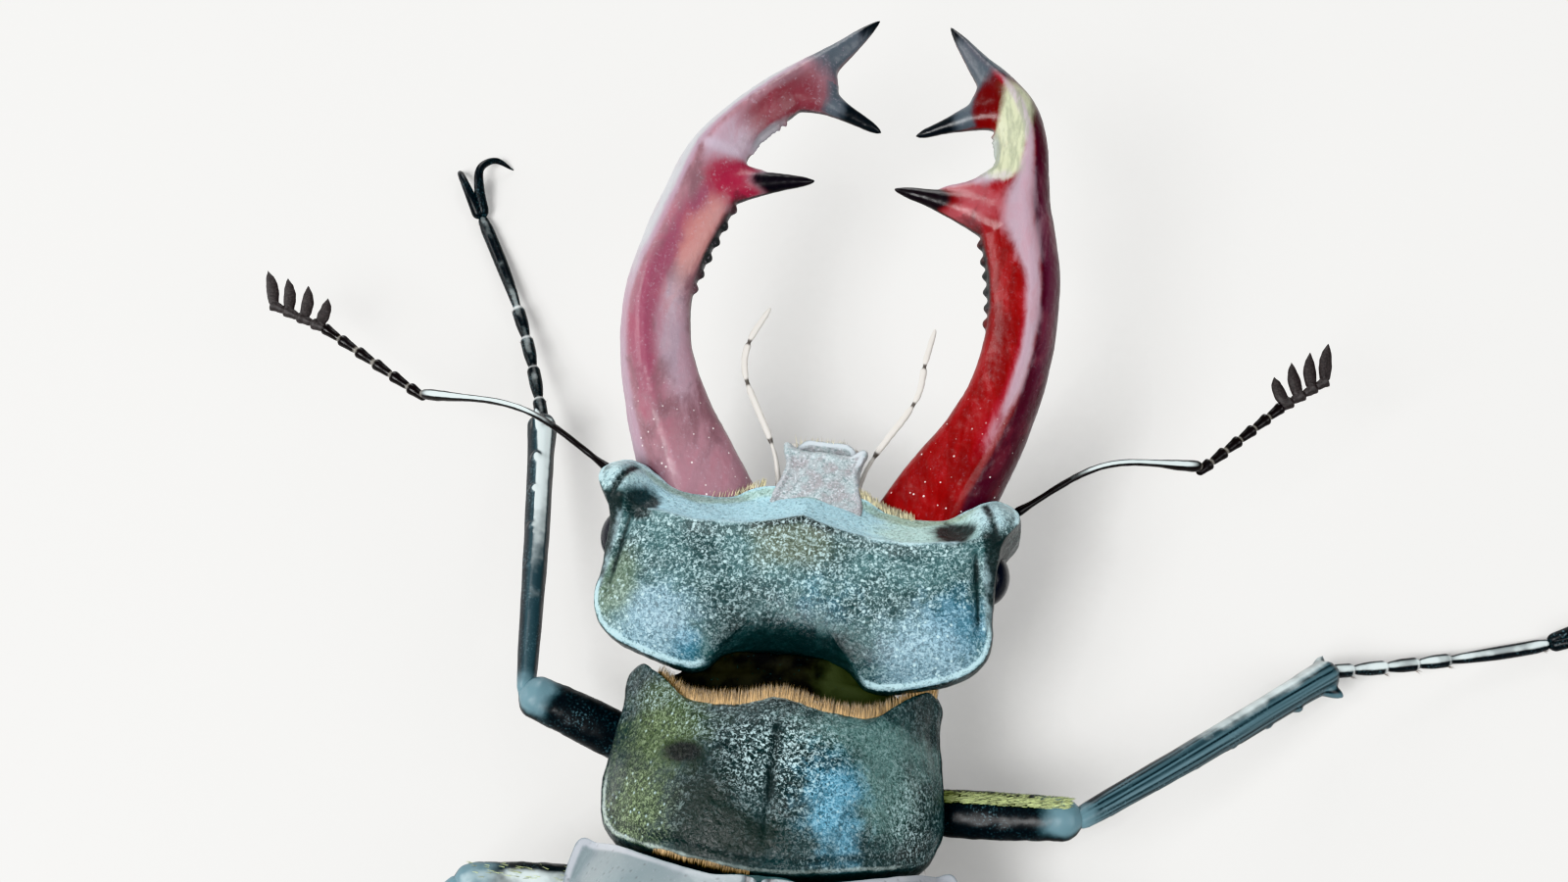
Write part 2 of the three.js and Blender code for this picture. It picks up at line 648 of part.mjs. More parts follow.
const TIBIA_PROFILES = {
  fore: [[0, 0.5, 0.42], [0.08, 0.75, 0.5], [0.45, 1.08, 0.58], [0.9, 1.2, 0.62], [1, 0.8, 0.5]],
  mid: [[0, 0.5, 0.45], [0.08, 0.6, 0.55], [0.5, 0.72, 0.6], [0.88, 0.95, 0.7], [1, 0.65, 0.5]],
  hind: [[0, 0.5, 0.45], [0.08, 0.6, 0.55], [0.5, 0.7, 0.6], [0.88, 0.9, 0.7], [1, 0.65, 0.5]],
};
const TIBIA_ROLL = { fore_left: 80 }; // degrees; this blade stands on edge, and the others lie flat
const SPUR_SHARE = 0.95; // how far along a tibia its last spurs stand
// [share, length] of the spines on each tibia's outer edge
const TIBIA_SPINES = {
  fore: [[0.42, 0.2], [0.56, 0.24], [0.7, 0.28], [0.82, 0.34], [SPUR_SHARE, 0.9]],
  mid: [[0.5, 0.7], [0.72, 0.8], [SPUR_SHARE, 1]],
  hind: [[0.6, 0.6], [SPUR_SHARE, 1]],
};
const APEX_SPUR = 1.3; // spur at the inner corner of each tibia's end
const TARSUS_PROFILE = jointed([0, 0.15, 0.3, 0.44, 0.58, 1], 0.44); // four short joints and a long one
const CLAW_LINE = [[0.12, -0.1, 0.05], [0.4, 1.5, 0.7], [1, 2.8, 0.55], [1.6, 3.5, -0.55]];
const ROLLED_CLAWS = { // the left fore foot is rolled: one claw hooks sideways and the other points ahead
  left: [[0.12, -0.1, 0.05], [0.35, 1.4, 0.6], [0.5, 2.6, 0.55], [0.55, 3.4, -0.5]],
  right: [[0.12, -0.1, 0.05], [0.3, 1.5, 0.65], [0.7, 2.6, 0.7], [1.7, 3.1, 0.25], [2.6, 2.5, -0.5]],
};
const TARSUS_BOWS = { fore_left: 0.5 }; // how far a foot bends towards the beetle's right
const CLAW_PROFILE = [[0, 0.38, 0.38], [0.5, 0.3, 0.3], [1, 0.25, 0.25]];

/** A point on the way from ankle to toe: it drops fast and then runs along the floor. */
function tarsusPoint(ankle, toe, share, bow) {
  const side = toe.clone().sub(ankle).cross(UP).normalize();
  const p = ankle.clone().lerp(toe, share).addScaledVector(side, bow * Math.sin(Math.PI * share));
  p.z = lerp(toe.z, ankle.z, (1 - share) ** 1.8);
  return p;
}

/** A group whose +Y axis points along a segment, rolled about it from having +Z nearest to up. */
function aimed(from, to, roll = 0) {
  const along = to.clone().sub(from).normalize();
  const side = along.clone().cross(UP).normalize();
  const frame = new THREE.Matrix4().makeBasis(side, along, side.clone().cross(along));
  const group = new THREE.Group();
  group.quaternion.setFromRotationMatrix(frame);
  group.rotateY(degrees(roll));
  group.position.copy(from);
  beetle.add(group);
  return group;
}

/** A spine that leaves a segment's edge in that segment's frame, leaning towards its end. */
const spine = (sign, edge, y, reach, grow) =>
  limb(
    [at(sign * edge * 0.5, y - reach * 0.2, 0), at(sign * (edge + reach * 0.8), y + reach * 0.6, 0)],
    [[0, 0.55, 0.4], [1, 0.27, 0.27]],
    { section: oval(4), grow },
  );

for (const pair of ['fore', 'mid', 'hind']) {
  for (const { word, sign } of SIDES) {
    const name = `${pair}_${word}`;
    const { coxa, hip, knee, ankle, toe } = LEGS[name];
    const outer = pair === 'fore' ? sign : -sign; // the tibia's outer edge in its own frame

    piece(
      beetle,
      `coxa_${name}`,
      LIMB,
      (grow) => limb([coxa, hip], COXA_PROFILE, { grow }),
      [`femur_${name}`],
    );

    const thigh = aimed(hip, knee);
    const thighLength = hip.distanceTo(knee);
    piece(thigh, `femur_${name}`, LIMB, (grow) =>
      limb([at(0, 0), at(0, thighLength)], FEMUR_PROFILE, { section: oval(8), grow }),
    );

    const shin = aimed(knee, ankle, TIBIA_ROLL[name]);
    const shinLength = knee.distanceTo(ankle);
    const profile = TIBIA_PROFILES[pair];
    piece(
      shin,
      `tibia_${name}`,
      LIMB,
      (grow) =>
        joined([
          limb([at(0, 0), at(0, shinLength)], profile, { grow }),
          ...TIBIA_SPINES[pair].map(([share, reach]) =>
            spine(outer, sample(profile, share, 1), share * shinLength, reach, grow),
          ),
          spine(-outer, sample(profile, SPUR_SHARE, 1), SPUR_SHARE * shinLength, APEX_SPUR, grow),
        ]),
      [`femur_${name}`],
    );

    piece(
      beetle,
      `tarsus_${name}`,
      LIMB,
      (grow) =>
        limb(
          evenly(5).map((share) => tarsusPoint(ankle, toe, 0.02 + 0.98 * share, TARSUS_BOWS[name] ?? 0)),
          TARSUS_PROFILE,
          { section: oval(5), grow },
        ),
      [`tibia_${name}`, 'ground'],
    );

    const foot = aimed(toe, toe.clone().add(toe.clone().sub(ankle).setZ(0)));
    piece(
      foot,
      `claws_${name}`,
      LIMB,
      (grow) =>
        joined(
          SIDES.map((claw) => {
            const rows = name === 'fore_left' ? ROLLED_CLAWS[claw.word] : CLAW_LINE;
            const line = rows.map(([x, y, z]) => at(claw.sign * x, y, z));
            return limb(line, CLAW_PROFILE, { section: oval(4), steps: rows.length - 1, grow });
          }),
        ),
      [`tarsus_${name}`, 'ground'],
    );
  }
}

// ---- fitting ------------------------------------------------------------------------------------

/** The floor, which only trims the feet to flats at one level. */
const ground = new THREE.Object3D();
beetle.add(ground);
pieces.set('ground', {
  mesh: ground,
  shape: () => solid(new THREE.BoxGeometry(200, 200, 10).translate(0, 0, -5)),
  neighbours: [],
});

beetle.updateMatrixWorld(true);
for (const { mesh, shape, neighbours } of pieces.values()) {
  if (!mesh.isMesh) continue;
  const toMesh = mesh.matrixWorld.clone().invert();
  let whole = shape(0);
  for (const name of neighbours) {
    const neighbour = pieces.get(name);
    const matrix = toMesh.clone().multiply(neighbour.mesh.matrixWorld);
    whole = whole.subtract(neighbour.shape(JOINT_GAP).transform(matrix.elements));
  }
  mesh.geometry = geometryOf(whole);
}

beetle.rotation.z = Math.PI;
beetle.updateMatrixWorld(true);
const middle = new THREE.Box3().setFromObject(beetle, true).getCenter(new THREE.Vector3());
beetle.position.set(-middle.x, -middle.y, 0);

export default beetle;
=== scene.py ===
"""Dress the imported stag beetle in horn, hair and light, and set up the studio.

The solid model gives the places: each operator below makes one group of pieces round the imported
nodes and hides those that the pieces stand for. Shapes are worked out in millimetres in the
beetle's own frame (head towards +Y, its right side at +X) and set into the row's frame in metres.
"""

import math
import random

import bpy
import numpy as np
from mathutils import Matrix, Vector, kdtree, noise


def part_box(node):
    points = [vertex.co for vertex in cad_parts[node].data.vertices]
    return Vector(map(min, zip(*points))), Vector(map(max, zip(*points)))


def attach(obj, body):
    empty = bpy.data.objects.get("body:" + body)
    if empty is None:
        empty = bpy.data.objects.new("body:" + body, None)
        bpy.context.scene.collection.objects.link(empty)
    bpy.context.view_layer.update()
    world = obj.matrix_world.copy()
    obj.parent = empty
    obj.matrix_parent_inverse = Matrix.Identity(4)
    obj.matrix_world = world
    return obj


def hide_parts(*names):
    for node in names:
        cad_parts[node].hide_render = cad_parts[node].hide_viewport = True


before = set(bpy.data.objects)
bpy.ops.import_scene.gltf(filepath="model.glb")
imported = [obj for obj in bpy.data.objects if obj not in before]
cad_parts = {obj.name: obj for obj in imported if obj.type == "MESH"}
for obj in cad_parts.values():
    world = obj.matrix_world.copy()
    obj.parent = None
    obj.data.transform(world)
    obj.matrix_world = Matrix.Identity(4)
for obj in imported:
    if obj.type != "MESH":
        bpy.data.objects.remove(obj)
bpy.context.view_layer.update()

bl_info = {
    "name": "Stag beetle",
    "version": (1, 0, 0),
    "blender": (4, 5, 0),
    "location": "3D View > Sidebar > Beetle",
    "description": "Horn plates, forked jaws, limbs, feelers and hair for a packed stag beetle",
    "category": "Object",
}

MM = 0.001
PRONOTUM_REAR = 1.9  # how far the rear of the thorax shield lies behind the beetle's own origin
EYE_ALONG = 7.5  # how far the eyes lie before the neck joint, in the head's frame
HEAD_TILT = {"pitch": 8, "yaw": -2, "roll": -3}  # degrees
SIDES = {"left": -1, "right": 1}
PAIRS = ("fore", "mid", "hind")
LEGS = [f"{pair}_{side}" for pair in PAIRS for side in SIDES]
UP = np.array([0.0, 0.0, 1.0])
END_DEPTH = 0.15  # how far in from its tip a node's corners count as its end
CURVE_STEPS = 24  # points on a smooth curve from each given one to the next
FINE = 400  # points on a line along which shares are looked up


# ---- places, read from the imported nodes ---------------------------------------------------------


def body_place():
    """The matrix from the beetle's own frame, in millimetres, to the row's frame, in metres."""
    low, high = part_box("pronotum")
    shift = Vector(((low.x + high.x) / 2, high.y - PRONOTUM_REAR * MM, 0))
    return Matrix.Translation(shift) @ Matrix.Rotation(math.pi, 4, "Z") @ Matrix.Scale(MM, 4)


BODY = body_place()


def node_points(node):
    """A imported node's corners in the beetle's own frame, in millimetres."""
    inverse = np.array(BODY.inverted())
    points = np.array([v.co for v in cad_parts[node].data.vertices])
    return points @ inverse[:3, :3].T + inverse[:3, 3]


def ends(node, start):
    """The middles of a long node's two ends, the one nearer to start first."""
    points = node_points(node)
    middle = points.mean(0)
    along = np.linalg.svd(points - middle)[2][0]
    shares = (points - middle) @ along
    low, high = shares.min() + END_DEPTH, shares.max() - END_DEPTH
    tips = [points[shares < low].mean(0), points[shares > high].mean(0)]
    return sorted(tips, key=lambda tip: np.linalg.norm(tip - start))


def node_middle(node):
    """The middle of a node's box in the beetle's own frame."""
    points = node_points(node)
    return (points.min(0) + points.max(0)) / 2


def head_place():
    """The matrix from the head's frame, whose origin is the neck joint, to the beetle's own."""
    pitch, yaw, roll = (math.radians(HEAD_TILT[key]) for key in ("pitch", "yaw", "roll"))
    turn = Matrix.Rotation(yaw, 4, "Z") @ Matrix.Rotation(pitch, 4, "X") @ Matrix.Rotation(roll, 4, "Y")
    eyes = Vector((node_middle("eye_left") + node_middle("eye_right")) / 2)
    return Matrix.Translation(eyes - turn.to_3x3() @ Vector((0, EYE_ALONG, 0))) @ turn


HEAD = BODY @ head_place()


def aimed(start, end, roll=0.0):
    """The matrix of a segment's frame: +Y along it, +Z nearest to up, then rolled in degrees."""
    along = Vector(end - start).normalized()
    side = along.cross(Vector(UP)).normalized()
    turn = Matrix((side, along, side.cross(along))).transposed().to_4x4()
    return Matrix.Translation(Vector(start)) @ turn @ Matrix.Rotation(math.radians(roll), 4, "Y")


# ---- shapes -------------------------------------------------------------------------------------


def unit(vectors):
    """The same directions with length 1: one vector, or one in each row."""
    return vectors / np.sqrt(np.sum(vectors * vectors, axis=-1, keepdims=True))


def crosswise(along):
    """The level direction to the right of each direction, and the one square to both, upward."""
    side = unit(np.cross(along, UP))
    return side, np.cross(side, along)


class Shape:
    """Points in millimetres, the faces between them, and named values at the points."""

    def __init__(self, points, faces, **values):
        self.points = np.asarray(points, float)
        self.faces = faces
        self.values = values

    def moved(self, matrix):
        """The shape carried over by a 4 by 4 matrix."""
        table = np.array(matrix)
        return Shape(self.points @ table[:3, :3].T + table[:3, 3], self.faces, **self.values)

    def set(self, **values):
        """The same shape with more named values."""
        self.values.update(values)
        return self


def joined(shapes):
    """One shape of several. A value that a shape lacks is 0 there."""
    names = {name for shape in shapes for name in shape.values}
    faces, start = [], 0
    for shape in shapes:
        faces += [tuple(corner + start for corner in face) for face in shape.faces]
        start += len(shape.points)
    values = {
        name: np.concatenate([shape.values.get(name, np.zeros(len(shape.points))) for shape in shapes])
        for name in names
    }
    return Shape(np.vstack([shape.points for shape in shapes]), faces, **values)


def smooth_curve(points, count, closed=False):
    """Evenly spaced points on a smooth curve through the given ones."""
    given = np.asarray(points, float)
    if closed:
        padded = np.vstack([given[-1:], given, given[:2]])
    else:
        padded = np.vstack([2 * given[0] - given[1], given, 2 * given[-1] - given[-2]])
    dense = []
    steps = np.linspace(0, 1, CURVE_STEPS, endpoint=False)[:, None]
    for p0, p1, p2, p3 in zip(padded, padded[1:], padded[2:], padded[3:]):
        gaps = ((p0, p1), (p1, p2), (p2, p3))
        d0, d1, d2 = (math.sqrt(max(np.linalg.norm(b - a), 1e-9)) for a, b in gaps)
        t1 = ((p1 - p0) / d0 - (p2 - p0) / (d0 + d1) + (p2 - p1) / d1) * d1
        t2 = ((p2 - p1) / d1 - (p3 - p1) / (d1 + d2) + (p3 - p2) / d2) * d1
        cubic = 2 * p1 - 2 * p2 + t1 + t2
        dense.append(p1 + steps * (t1 + steps * ((-3 * p1 + 3 * p2 - 2 * t1 - t2) + steps * cubic)))
    dense = np.vstack(dense + [padded[1:2] if closed else padded[-2:-1]])
    lengths = np.concatenate([[0], np.cumsum(np.linalg.norm(np.diff(dense, axis=0), axis=1))])
    wanted = np.linspace(0, lengths[-1], count, endpoint=not closed)
    return np.column_stack([np.interp(wanted, lengths, dense[:, axis]) for axis in range(dense.shape[1])])


def smooth_profile(profile, shares):
    """A profile's columns at the shares, eased through its rows without overshoot."""
    rows = np.asarray(profile, float)
    x = rows[:, 0]
    steps = np.diff(x)
    columns = []
    for values in rows[:, 1:].T:
        slopes = np.diff(values) / steps
        inner = np.where(slopes[:-1] * slopes[1:] > 0, 2 * slopes[:-1] * slopes[1:], 0)
        inner = inner / np.where(np.abs(slopes[:-1] + slopes[1:]) > 1e-9, slopes[:-1] + slopes[1:], 1)
        tangents = np.concatenate([[slopes[0]], inner, [slopes[-1]]])
        i = np.clip(np.searchsorted(x, shares, side="right") - 1, 0, len(steps) - 1)
        t = np.clip((shares - x[i]) / steps[i], 0, 1)
        columns.append(
            (1 + 2 * t) * (1 - t) ** 2 * values[i]
            + t * (1 - t) ** 2 * steps[i] * tangents[i]
            + t * t * (3 - 2 * t) * values[i + 1]
            + t * t * (t - 1) * steps[i] * tangents[i + 1]
        )
    return np.column_stack(columns)


def ring_faces(rings, sides, first=0):
    """The quads between rings of points, and a fan at each end to the points before and after."""
    start = first + 1
    faces = []
    for j in range(sides):
        k = (j + 1) % sides
        faces.append((first, start + j, start + k))
        for i in range(rings - 1):
            a, b = start + i * sides, start + (i + 1) * sides
            faces.append((a + j, b + j, b + k, a + k))
        tail = start + (rings - 1) * sides
        faces.append((tail + j, tail + sides, tail + k))
    return faces


def oval(sides):
    """The points [across, up] of a round section."""
    angles = 2 * np.pi * (np.arange(sides) + 0.5) / sides
    return np.column_stack([np.cos(angles), np.sin(angles)])


def sweep(points, profile, section=None, rings=60, blunt=(0.12, 0.12)):
    """A section swept along a smooth line. blunt is the share of the length rounded at each end."""
    section = oval(20) if section is None else section
    shares = (1 - np.cos(np.linspace(0, np.pi, rings))) / 2
    shares[0], shares[-1] = 0.0005, 0.9995
    fine = smooth_curve(points, FINE)
    marks = np.linspace(0, 1, FINE)
    line, along = (
        np.column_stack([np.interp(shares, marks, column) for column in table.T])
        for table in (fine, np.gradient(fine, axis=0))
    )
    side, top = crosswise(unit(along))
    half, high = smooth_profile(profile, shares).T
    rounding = np.ones(rings)
    for share, reach in ((shares, blunt[0]), (1 - shares, blunt[1])):
        if reach:
            rounding *= np.sqrt(1 - np.clip(1 - share / reach, 0, 1) ** 2)
    across = (half * rounding)[:, None, None] * section[None, :, :1] * side[:, None, :]
    upward = (high * rounding)[:, None, None] * section[None, :, 1:] * top[:, None, :]
    skin = line[:, None, :] + across + upward
    count = len(section)
    points = np.vstack([line[:1], skin.reshape(-1, 3), line[-1:]])
    share = np.concatenate([[0], np.repeat(shares, count), [1]])
    upness = np.concatenate([[0], np.tile(section[:, 1], rings), [0]])
    return Shape(points, ring_faces(rings, count), share=share, upness=upness)


def symmetric(half):
    """A right-hand half outline, from the front of the midline to its rear, closed by its mirror."""
    right = [tuple(point) for point in half]
    return right + [(-x, y) for x, y in reversed(right) if x > 0]


def edge_distance(xy, outline):
    """How far each point of the plan lies from the outline."""
    ahead = np.roll(outline, -1, axis=0) - outline
    best = np.full(len(xy), 1e9)
    for start, stretch in zip(outline, ahead):
        t = np.clip(((xy - start) @ stretch) / (stretch @ stretch), 0, 1)
        best = np.minimum(best, np.linalg.norm(xy - start - t[:, None] * stretch, axis=1))
    return best


def outward_of(outline, centre):
    """The directions square to a closed outline, away from its centre."""
    ahead = np.roll(outline, -1, axis=0) - np.roll(outline, 1, axis=0)
    outward = unit(np.column_stack([-ahead[:, 1], ahead[:, 0]]))
    return -outward if np.sum(outward * (outline - centre)) < 0 else outward


def turns_right(outline):
    """Whether a closed outline runs clockwise, seen from above."""
    after = np.roll(outline, -1, axis=0)
    return np.sum(outline[:, 0] * after[:, 1] - outline[:, 1] * after[:, 0]) < 0


WALL = 0.5  # what a plate's "upper" says on its side wall: 1 is its top and 0 its bottom


def plate(outline, centre, top, bottom, around=300, inner=44, wall=7, bulge=0.1, limit=None):
    """A body plate from its outline in plan and its heights top and bottom(x, y, rim, edge).

    rim runs from 0 at the centre to 1 at the outline, and edge is the distance to the outline.
    around, inner and wall count the points round it, from its centre out and down its side.
    """
    outline = smooth_curve(outline, around, closed=True)
    if limit is not None:
        outline = limit(outline)
    centre = np.array(centre, float)
    rims = 1 - (1 - np.linspace(0, 1, inner + 1)[1:]) ** 1.5
    lower = rims[:: -max(1, inner // 16)]

    def layer(shares, height):
        """The points of the top or the bottom, ring by ring, and how far they lie from the outline."""
        flat = (centre + shares[:, None, None] * (outline - centre)[None]).reshape(-1, 2)
        away = edge_distance(flat, outline)
        return np.column_stack([flat, height(*flat.T, np.repeat(shares, around), away)]), away

    upper_points, upper_edge = layer(rims, top)
    lower_points, lower_edge = layer(lower, bottom)
    outward = outward_of(outline, centre)
    top_edge, bottom_edge = upper_points[-around:, 2], lower_points[:around, 2]
    walls = []
    for t in np.linspace(0, 1, wall + 2)[1:-1]:
        xy = outline + bulge * math.sin(math.pi * t) * outward
        walls.append(np.column_stack([xy, top_edge + (bottom_edge - top_edge) * step(t, 0, 1)]))
    far = np.array([upper_edge.max()])
    first, last = (
        np.array([[*centre, height(*centre[:, None], np.zeros(1), far)[0]]]) for height in (top, bottom)
    )
    points = np.vstack([first, upper_points, *walls, lower_points, last])
    sides = wall * around
    edge = np.concatenate([far, upper_edge, np.zeros(sides), lower_edge, far])
    counts = (len(upper_points) + 1, sides, len(lower_points) + 1)
    upper = np.repeat((1.0, WALL, 0.0), counts)
    faces = ring_faces(len(rims) + wall + len(lower), around)
    if turns_right(outline):
        faces = [face[::-1] for face in faces]
    return Shape(points, faces, edge=edge, upper=upper)


def level(height):
    """A flat top or bottom for a plate."""
    return lambda x, y, rim, edge: np.full_like(x, height)


def hill(x, y, x0, y0, spread):
    """A soft round hill of height 1 at (x0, y0)."""
    return np.exp(-((x - x0) ** 2 + (y - y0) ** 2) / spread**2)


def step(value, low, high):
    """A smooth step from 0 at low to 1 at high."""
    t = np.clip((value - low) / (high - low), 0, 1)
    return t * t * (3 - 2 * t)


def band(value, middle, width):
    """A soft band of height 1."""
    return np.exp(-(((value - middle) / width) ** 2))


def relief(points, size, depth, seed=0):
    """An uneven surface of the given grain size and depth at each point, in millimetres."""
    offset = Vector((seed * 17.3, seed * 5.1, seed * 9.7))
    return np.array([noise.noise(Vector(p) / size + offset) for p in points]) * depth


def normals_of(shape):
    """The outward directions at a shape's points."""
    total = np.zeros_like(shape.points)
    for count in (3, 4):
        faces = np.array([face for face in shape.faces if len(face) == count])
        if len(faces):
            corners = shape.points[faces]
            normals = np.cross(corners[:, 2] - corners[:, 0], corners[:, -1] - corners[:, 1])
            if count == 3:
                normals = np.cross(corners[:, 1] - corners[:, 0], corners[:, 2] - corners[:, 0])
            for corner in range(count):
                np.add.at(total, faces[:, corner], normals)
    return total / np.maximum(np.linalg.norm(total, axis=1), 1e-12)[:, None]


def roughened(shape, *grains):
    """The shape with its skin moved along its normals by each grain (size, depth)."""
    normals = normals_of(shape)
    lift = sum(relief(shape.points, size, depth, seed) for seed, (size, depth) in enumerate(grains))
    shape.points = shape.points + normals * lift[:, None]
    return shape


def fused(shapes, voxel, smoothing):
    """Several shapes that meet, melted into one skin with soft inner corners."""
    whole = joined(shapes)
    mesh = bpy.data.meshes.new("fused")
    mesh.from_pydata(whole.points.tolist(), [], whole.faces)
    thing = bpy.data.objects.new("fused", mesh)
    bpy.context.scene.collection.objects.link(thing)
    remesh = thing.modifiers.new("melt", "REMESH")
    remesh.mode = "VOXEL"
    remesh.voxel_size = voxel
    smooth = thing.modifiers.new("smooth", "SMOOTH")
    smooth.factor = 0.5
    smooth.iterations = smoothing
    result = thing.evaluated_get(bpy.context.evaluated_depsgraph_get()).to_mesh()
    points = np.array([v.co for v in result.vertices])
    faces = [tuple(p.vertices) for p in result.polygons]
    bpy.data.objects.remove(thing)
    bpy.data.meshes.remove(mesh)
    return Shape(points, faces)


def eased(shape, weight, rounds):
    """The shape smoothed over and over where weight is 1, and left as it is where weight is 0."""
    pairs = np.array([pair for face in shape.faces for pair in zip(face, face[1:] + face[:1])])
    count = np.bincount(pairs[:, 0], minlength=len(shape.points))
    for _ in range(rounds):
        near = shape.points[pairs[:, 1]]
        total = np.column_stack([np.bincount(pairs[:, 0], near[:, axis], len(count)) for axis in range(3)])
        shape.points += 0.5 * weight[:, None] * (total / count[:, None] - shape.points)
    return shape


def make_piece(name, shape, place, material, slot, *nodes):
    """A finished Blender object of a shape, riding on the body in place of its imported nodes."""
    moved = shape.moved(place)
    mesh = bpy.data.meshes.new(name)
    mesh.from_pydata(moved.points.tolist(), [], moved.faces)
    for key, values in shape.values.items():
        attribute = mesh.attributes.new(key, "FLOAT", "POINT")
        attribute.data.foreach_set("value", np.asarray(values, np.float32))
    mesh.polygons.foreach_set("use_smooth", [True] * len(mesh.polygons))
    mesh.materials.append(material)
    mesh.update()
    thing = bpy.data.objects.new(name, mesh)
    bpy.context.scene.collection.objects.link(thing)
    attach(thing, "root")
    if nodes:
        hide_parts(*nodes)
    return thing


# ---- finishes -----------------------------------------------------------------------------------


class Finish:
    """A node material, built from small named steps. Grain sizes are in millimetres."""

    def __init__(self, name):
        self.material = bpy.data.materials.new(name)
        self.material.use_nodes = True
        self.nodes = self.material.node_tree.nodes
        self.links = self.material.node_tree.links
        self.nodes.clear()
        output = self.nodes.new("ShaderNodeOutputMaterial")
        self.surface = self.nodes.new("ShaderNodeBsdfPrincipled")
        self.links.new(self.surface.outputs[0], output.inputs["Surface"])
        self.place = self.nodes.new("ShaderNodeTexCoord").outputs["Object"]
        self.normal = None

    def set(self, **values):
        """Fixed values straight on the surface's sockets, such as coat_weight=0.3."""
        names = {socket.name.lower().replace(" ", "_"): socket for socket in self.surface.inputs}
        for key, value in values.items():
            names[key].default_value = value

    def to(self, socket, target):
        """A number, a colour or another node's output goes into a socket."""
        if isinstance(socket, bpy.types.NodeSocket):
            self.links.new(socket, target)
        elif hasattr(socket, "__len__"):
            target.default_value = (*socket, 1.0) if len(socket) == 3 else tuple(socket)
        else:
            target.default_value = socket

    def mask(self, name):
        """A named value of the mesh."""
        node = self.nodes.new("ShaderNodeAttribute")
        node.attribute_name = name
        return node.outputs["Fac"]

    def grain(self, size, detail=2.0, roughness=0.5, stretch=None, distortion=0.0):
        """Soft noise from 0 to 1 whose blotches are about size across."""
        node = self.nodes.new("ShaderNodeTexNoise")
        node.inputs["Scale"].default_value = 1 / (size * MM)
        node.inputs["Detail"].default_value = detail
        node.inputs["Roughness"].default_value = roughness
        node.inputs["Distortion"].default_value = distortion
        self.links.new(self.stretched(stretch), node.inputs["Vector"])
        return node.outputs["Fac"]

    def cells(self, size, feature="F1", stretch=None):
        """The distance to the nearest of many scattered dots that stand about size apart."""
        node = self.nodes.new("ShaderNodeTexVoronoi")
        node.feature = feature
        node.inputs["Scale"].default_value = 1 / (size * MM)
        self.links.new(self.stretched(stretch), node.inputs["Vector"])
        return node.outputs["Distance"]

    def stretched(self, stretch):
        """The place, squeezed along each axis by the given factors."""
        if stretch is None:
            return self.place
        node = self.nodes.new("ShaderNodeMapping")
        node.inputs["Scale"].default_value = stretch
        self.links.new(self.place, node.inputs["Vector"])
        return node.outputs[0]

    def math(self, operation, first, second=0.0):
        """One step of arithmetic."""
        node = self.nodes.new("ShaderNodeMath")
        node.operation = operation
        self.to(first, node.inputs[0])
        self.to(second, node.inputs[1])
        return node.outputs[0]

    def between(self, value, low, high, start=0.0, end=1.0):
        """A value's run from low to high, spread from start to end and held there outside."""
        node = self.nodes.new("ShaderNodeMapRange")
        node.interpolation_type = "SMOOTHSTEP"
        for key, number in zip(("From Min", "From Max", "To Min", "To Max"), (low, high, start, end)):
            node.inputs[key].default_value = number
        self.to(value, node.inputs["Value"])
        return node.outputs[0]

    def mix(self, factor, first, second, blend="MIX"):
        """Two colours mixed."""
        node = self.nodes.new("ShaderNodeMix")
        node.data_type = "RGBA"
        node.blend_type = blend
        self.to(factor, node.inputs[0])
        self.to(first, node.inputs[6])
        self.to(second, node.inputs[7])
        return node.outputs[2]

    def bump(self, height, depth, strength=1.0):
        """Relief of the given depth in millimetres, laid over what is there."""
        node = self.nodes.new("ShaderNodeBump")
        node.inputs["Strength"].default_value = strength
        node.inputs["Distance"].default_value = depth * MM
        self.to(height, node.inputs["Height"])
        if self.normal is not None:
            self.links.new(self.normal, node.inputs["Normal"])
        self.normal = node.outputs[0]

    def done(self, colour, roughness, coat_normal=False):
        """Plugs in the colour, the roughness and the relief, and gives the material."""
        self.to(colour, self.surface.inputs["Base Color"])
        self.to(roughness, self.surface.inputs["Roughness"])
        if self.normal is not None:
            self.links.new(self.normal, self.surface.inputs["Normal"])
            if coat_normal:
                self.links.new(self.normal, self.surface.inputs["Coat Normal"])
        return self.material


def tinted(finish, colour, tints, breakup):
    """A colour with tints laid over it: [(mask name, tint, strength), ...], broken up by a noise."""
    for name, tint, strength in tints:
        edge = finish.math("ADD", finish.mask(name), finish.between(breakup, 0.3, 0.7, -0.18, 0.18))
        share = finish.math("MULTIPLY", finish.between(edge, 0.08, 0.85), strength)
        share = finish.math("MULTIPLY", share, finish.between(finish.mask(name), 0.0, 0.12))
        colour = finish.mix(share, colour, tint)
    return colour


# ---- settings -----------------------------------------------------------------------------------


def colour_property(name, description, default):
    """A colour that a user may change."""
    return bpy.props.FloatVectorProperty(
        name=name, description=description, default=default, min=0.0, max=1.0, subtype="COLOR", size=3
    )


def length_property(name, description, default):
    """A length in metres that a user may change."""
    return bpy.props.FloatProperty(
        name=name, description=description, default=default, min=0.0, unit="LENGTH", subtype="DISTANCE"
    )


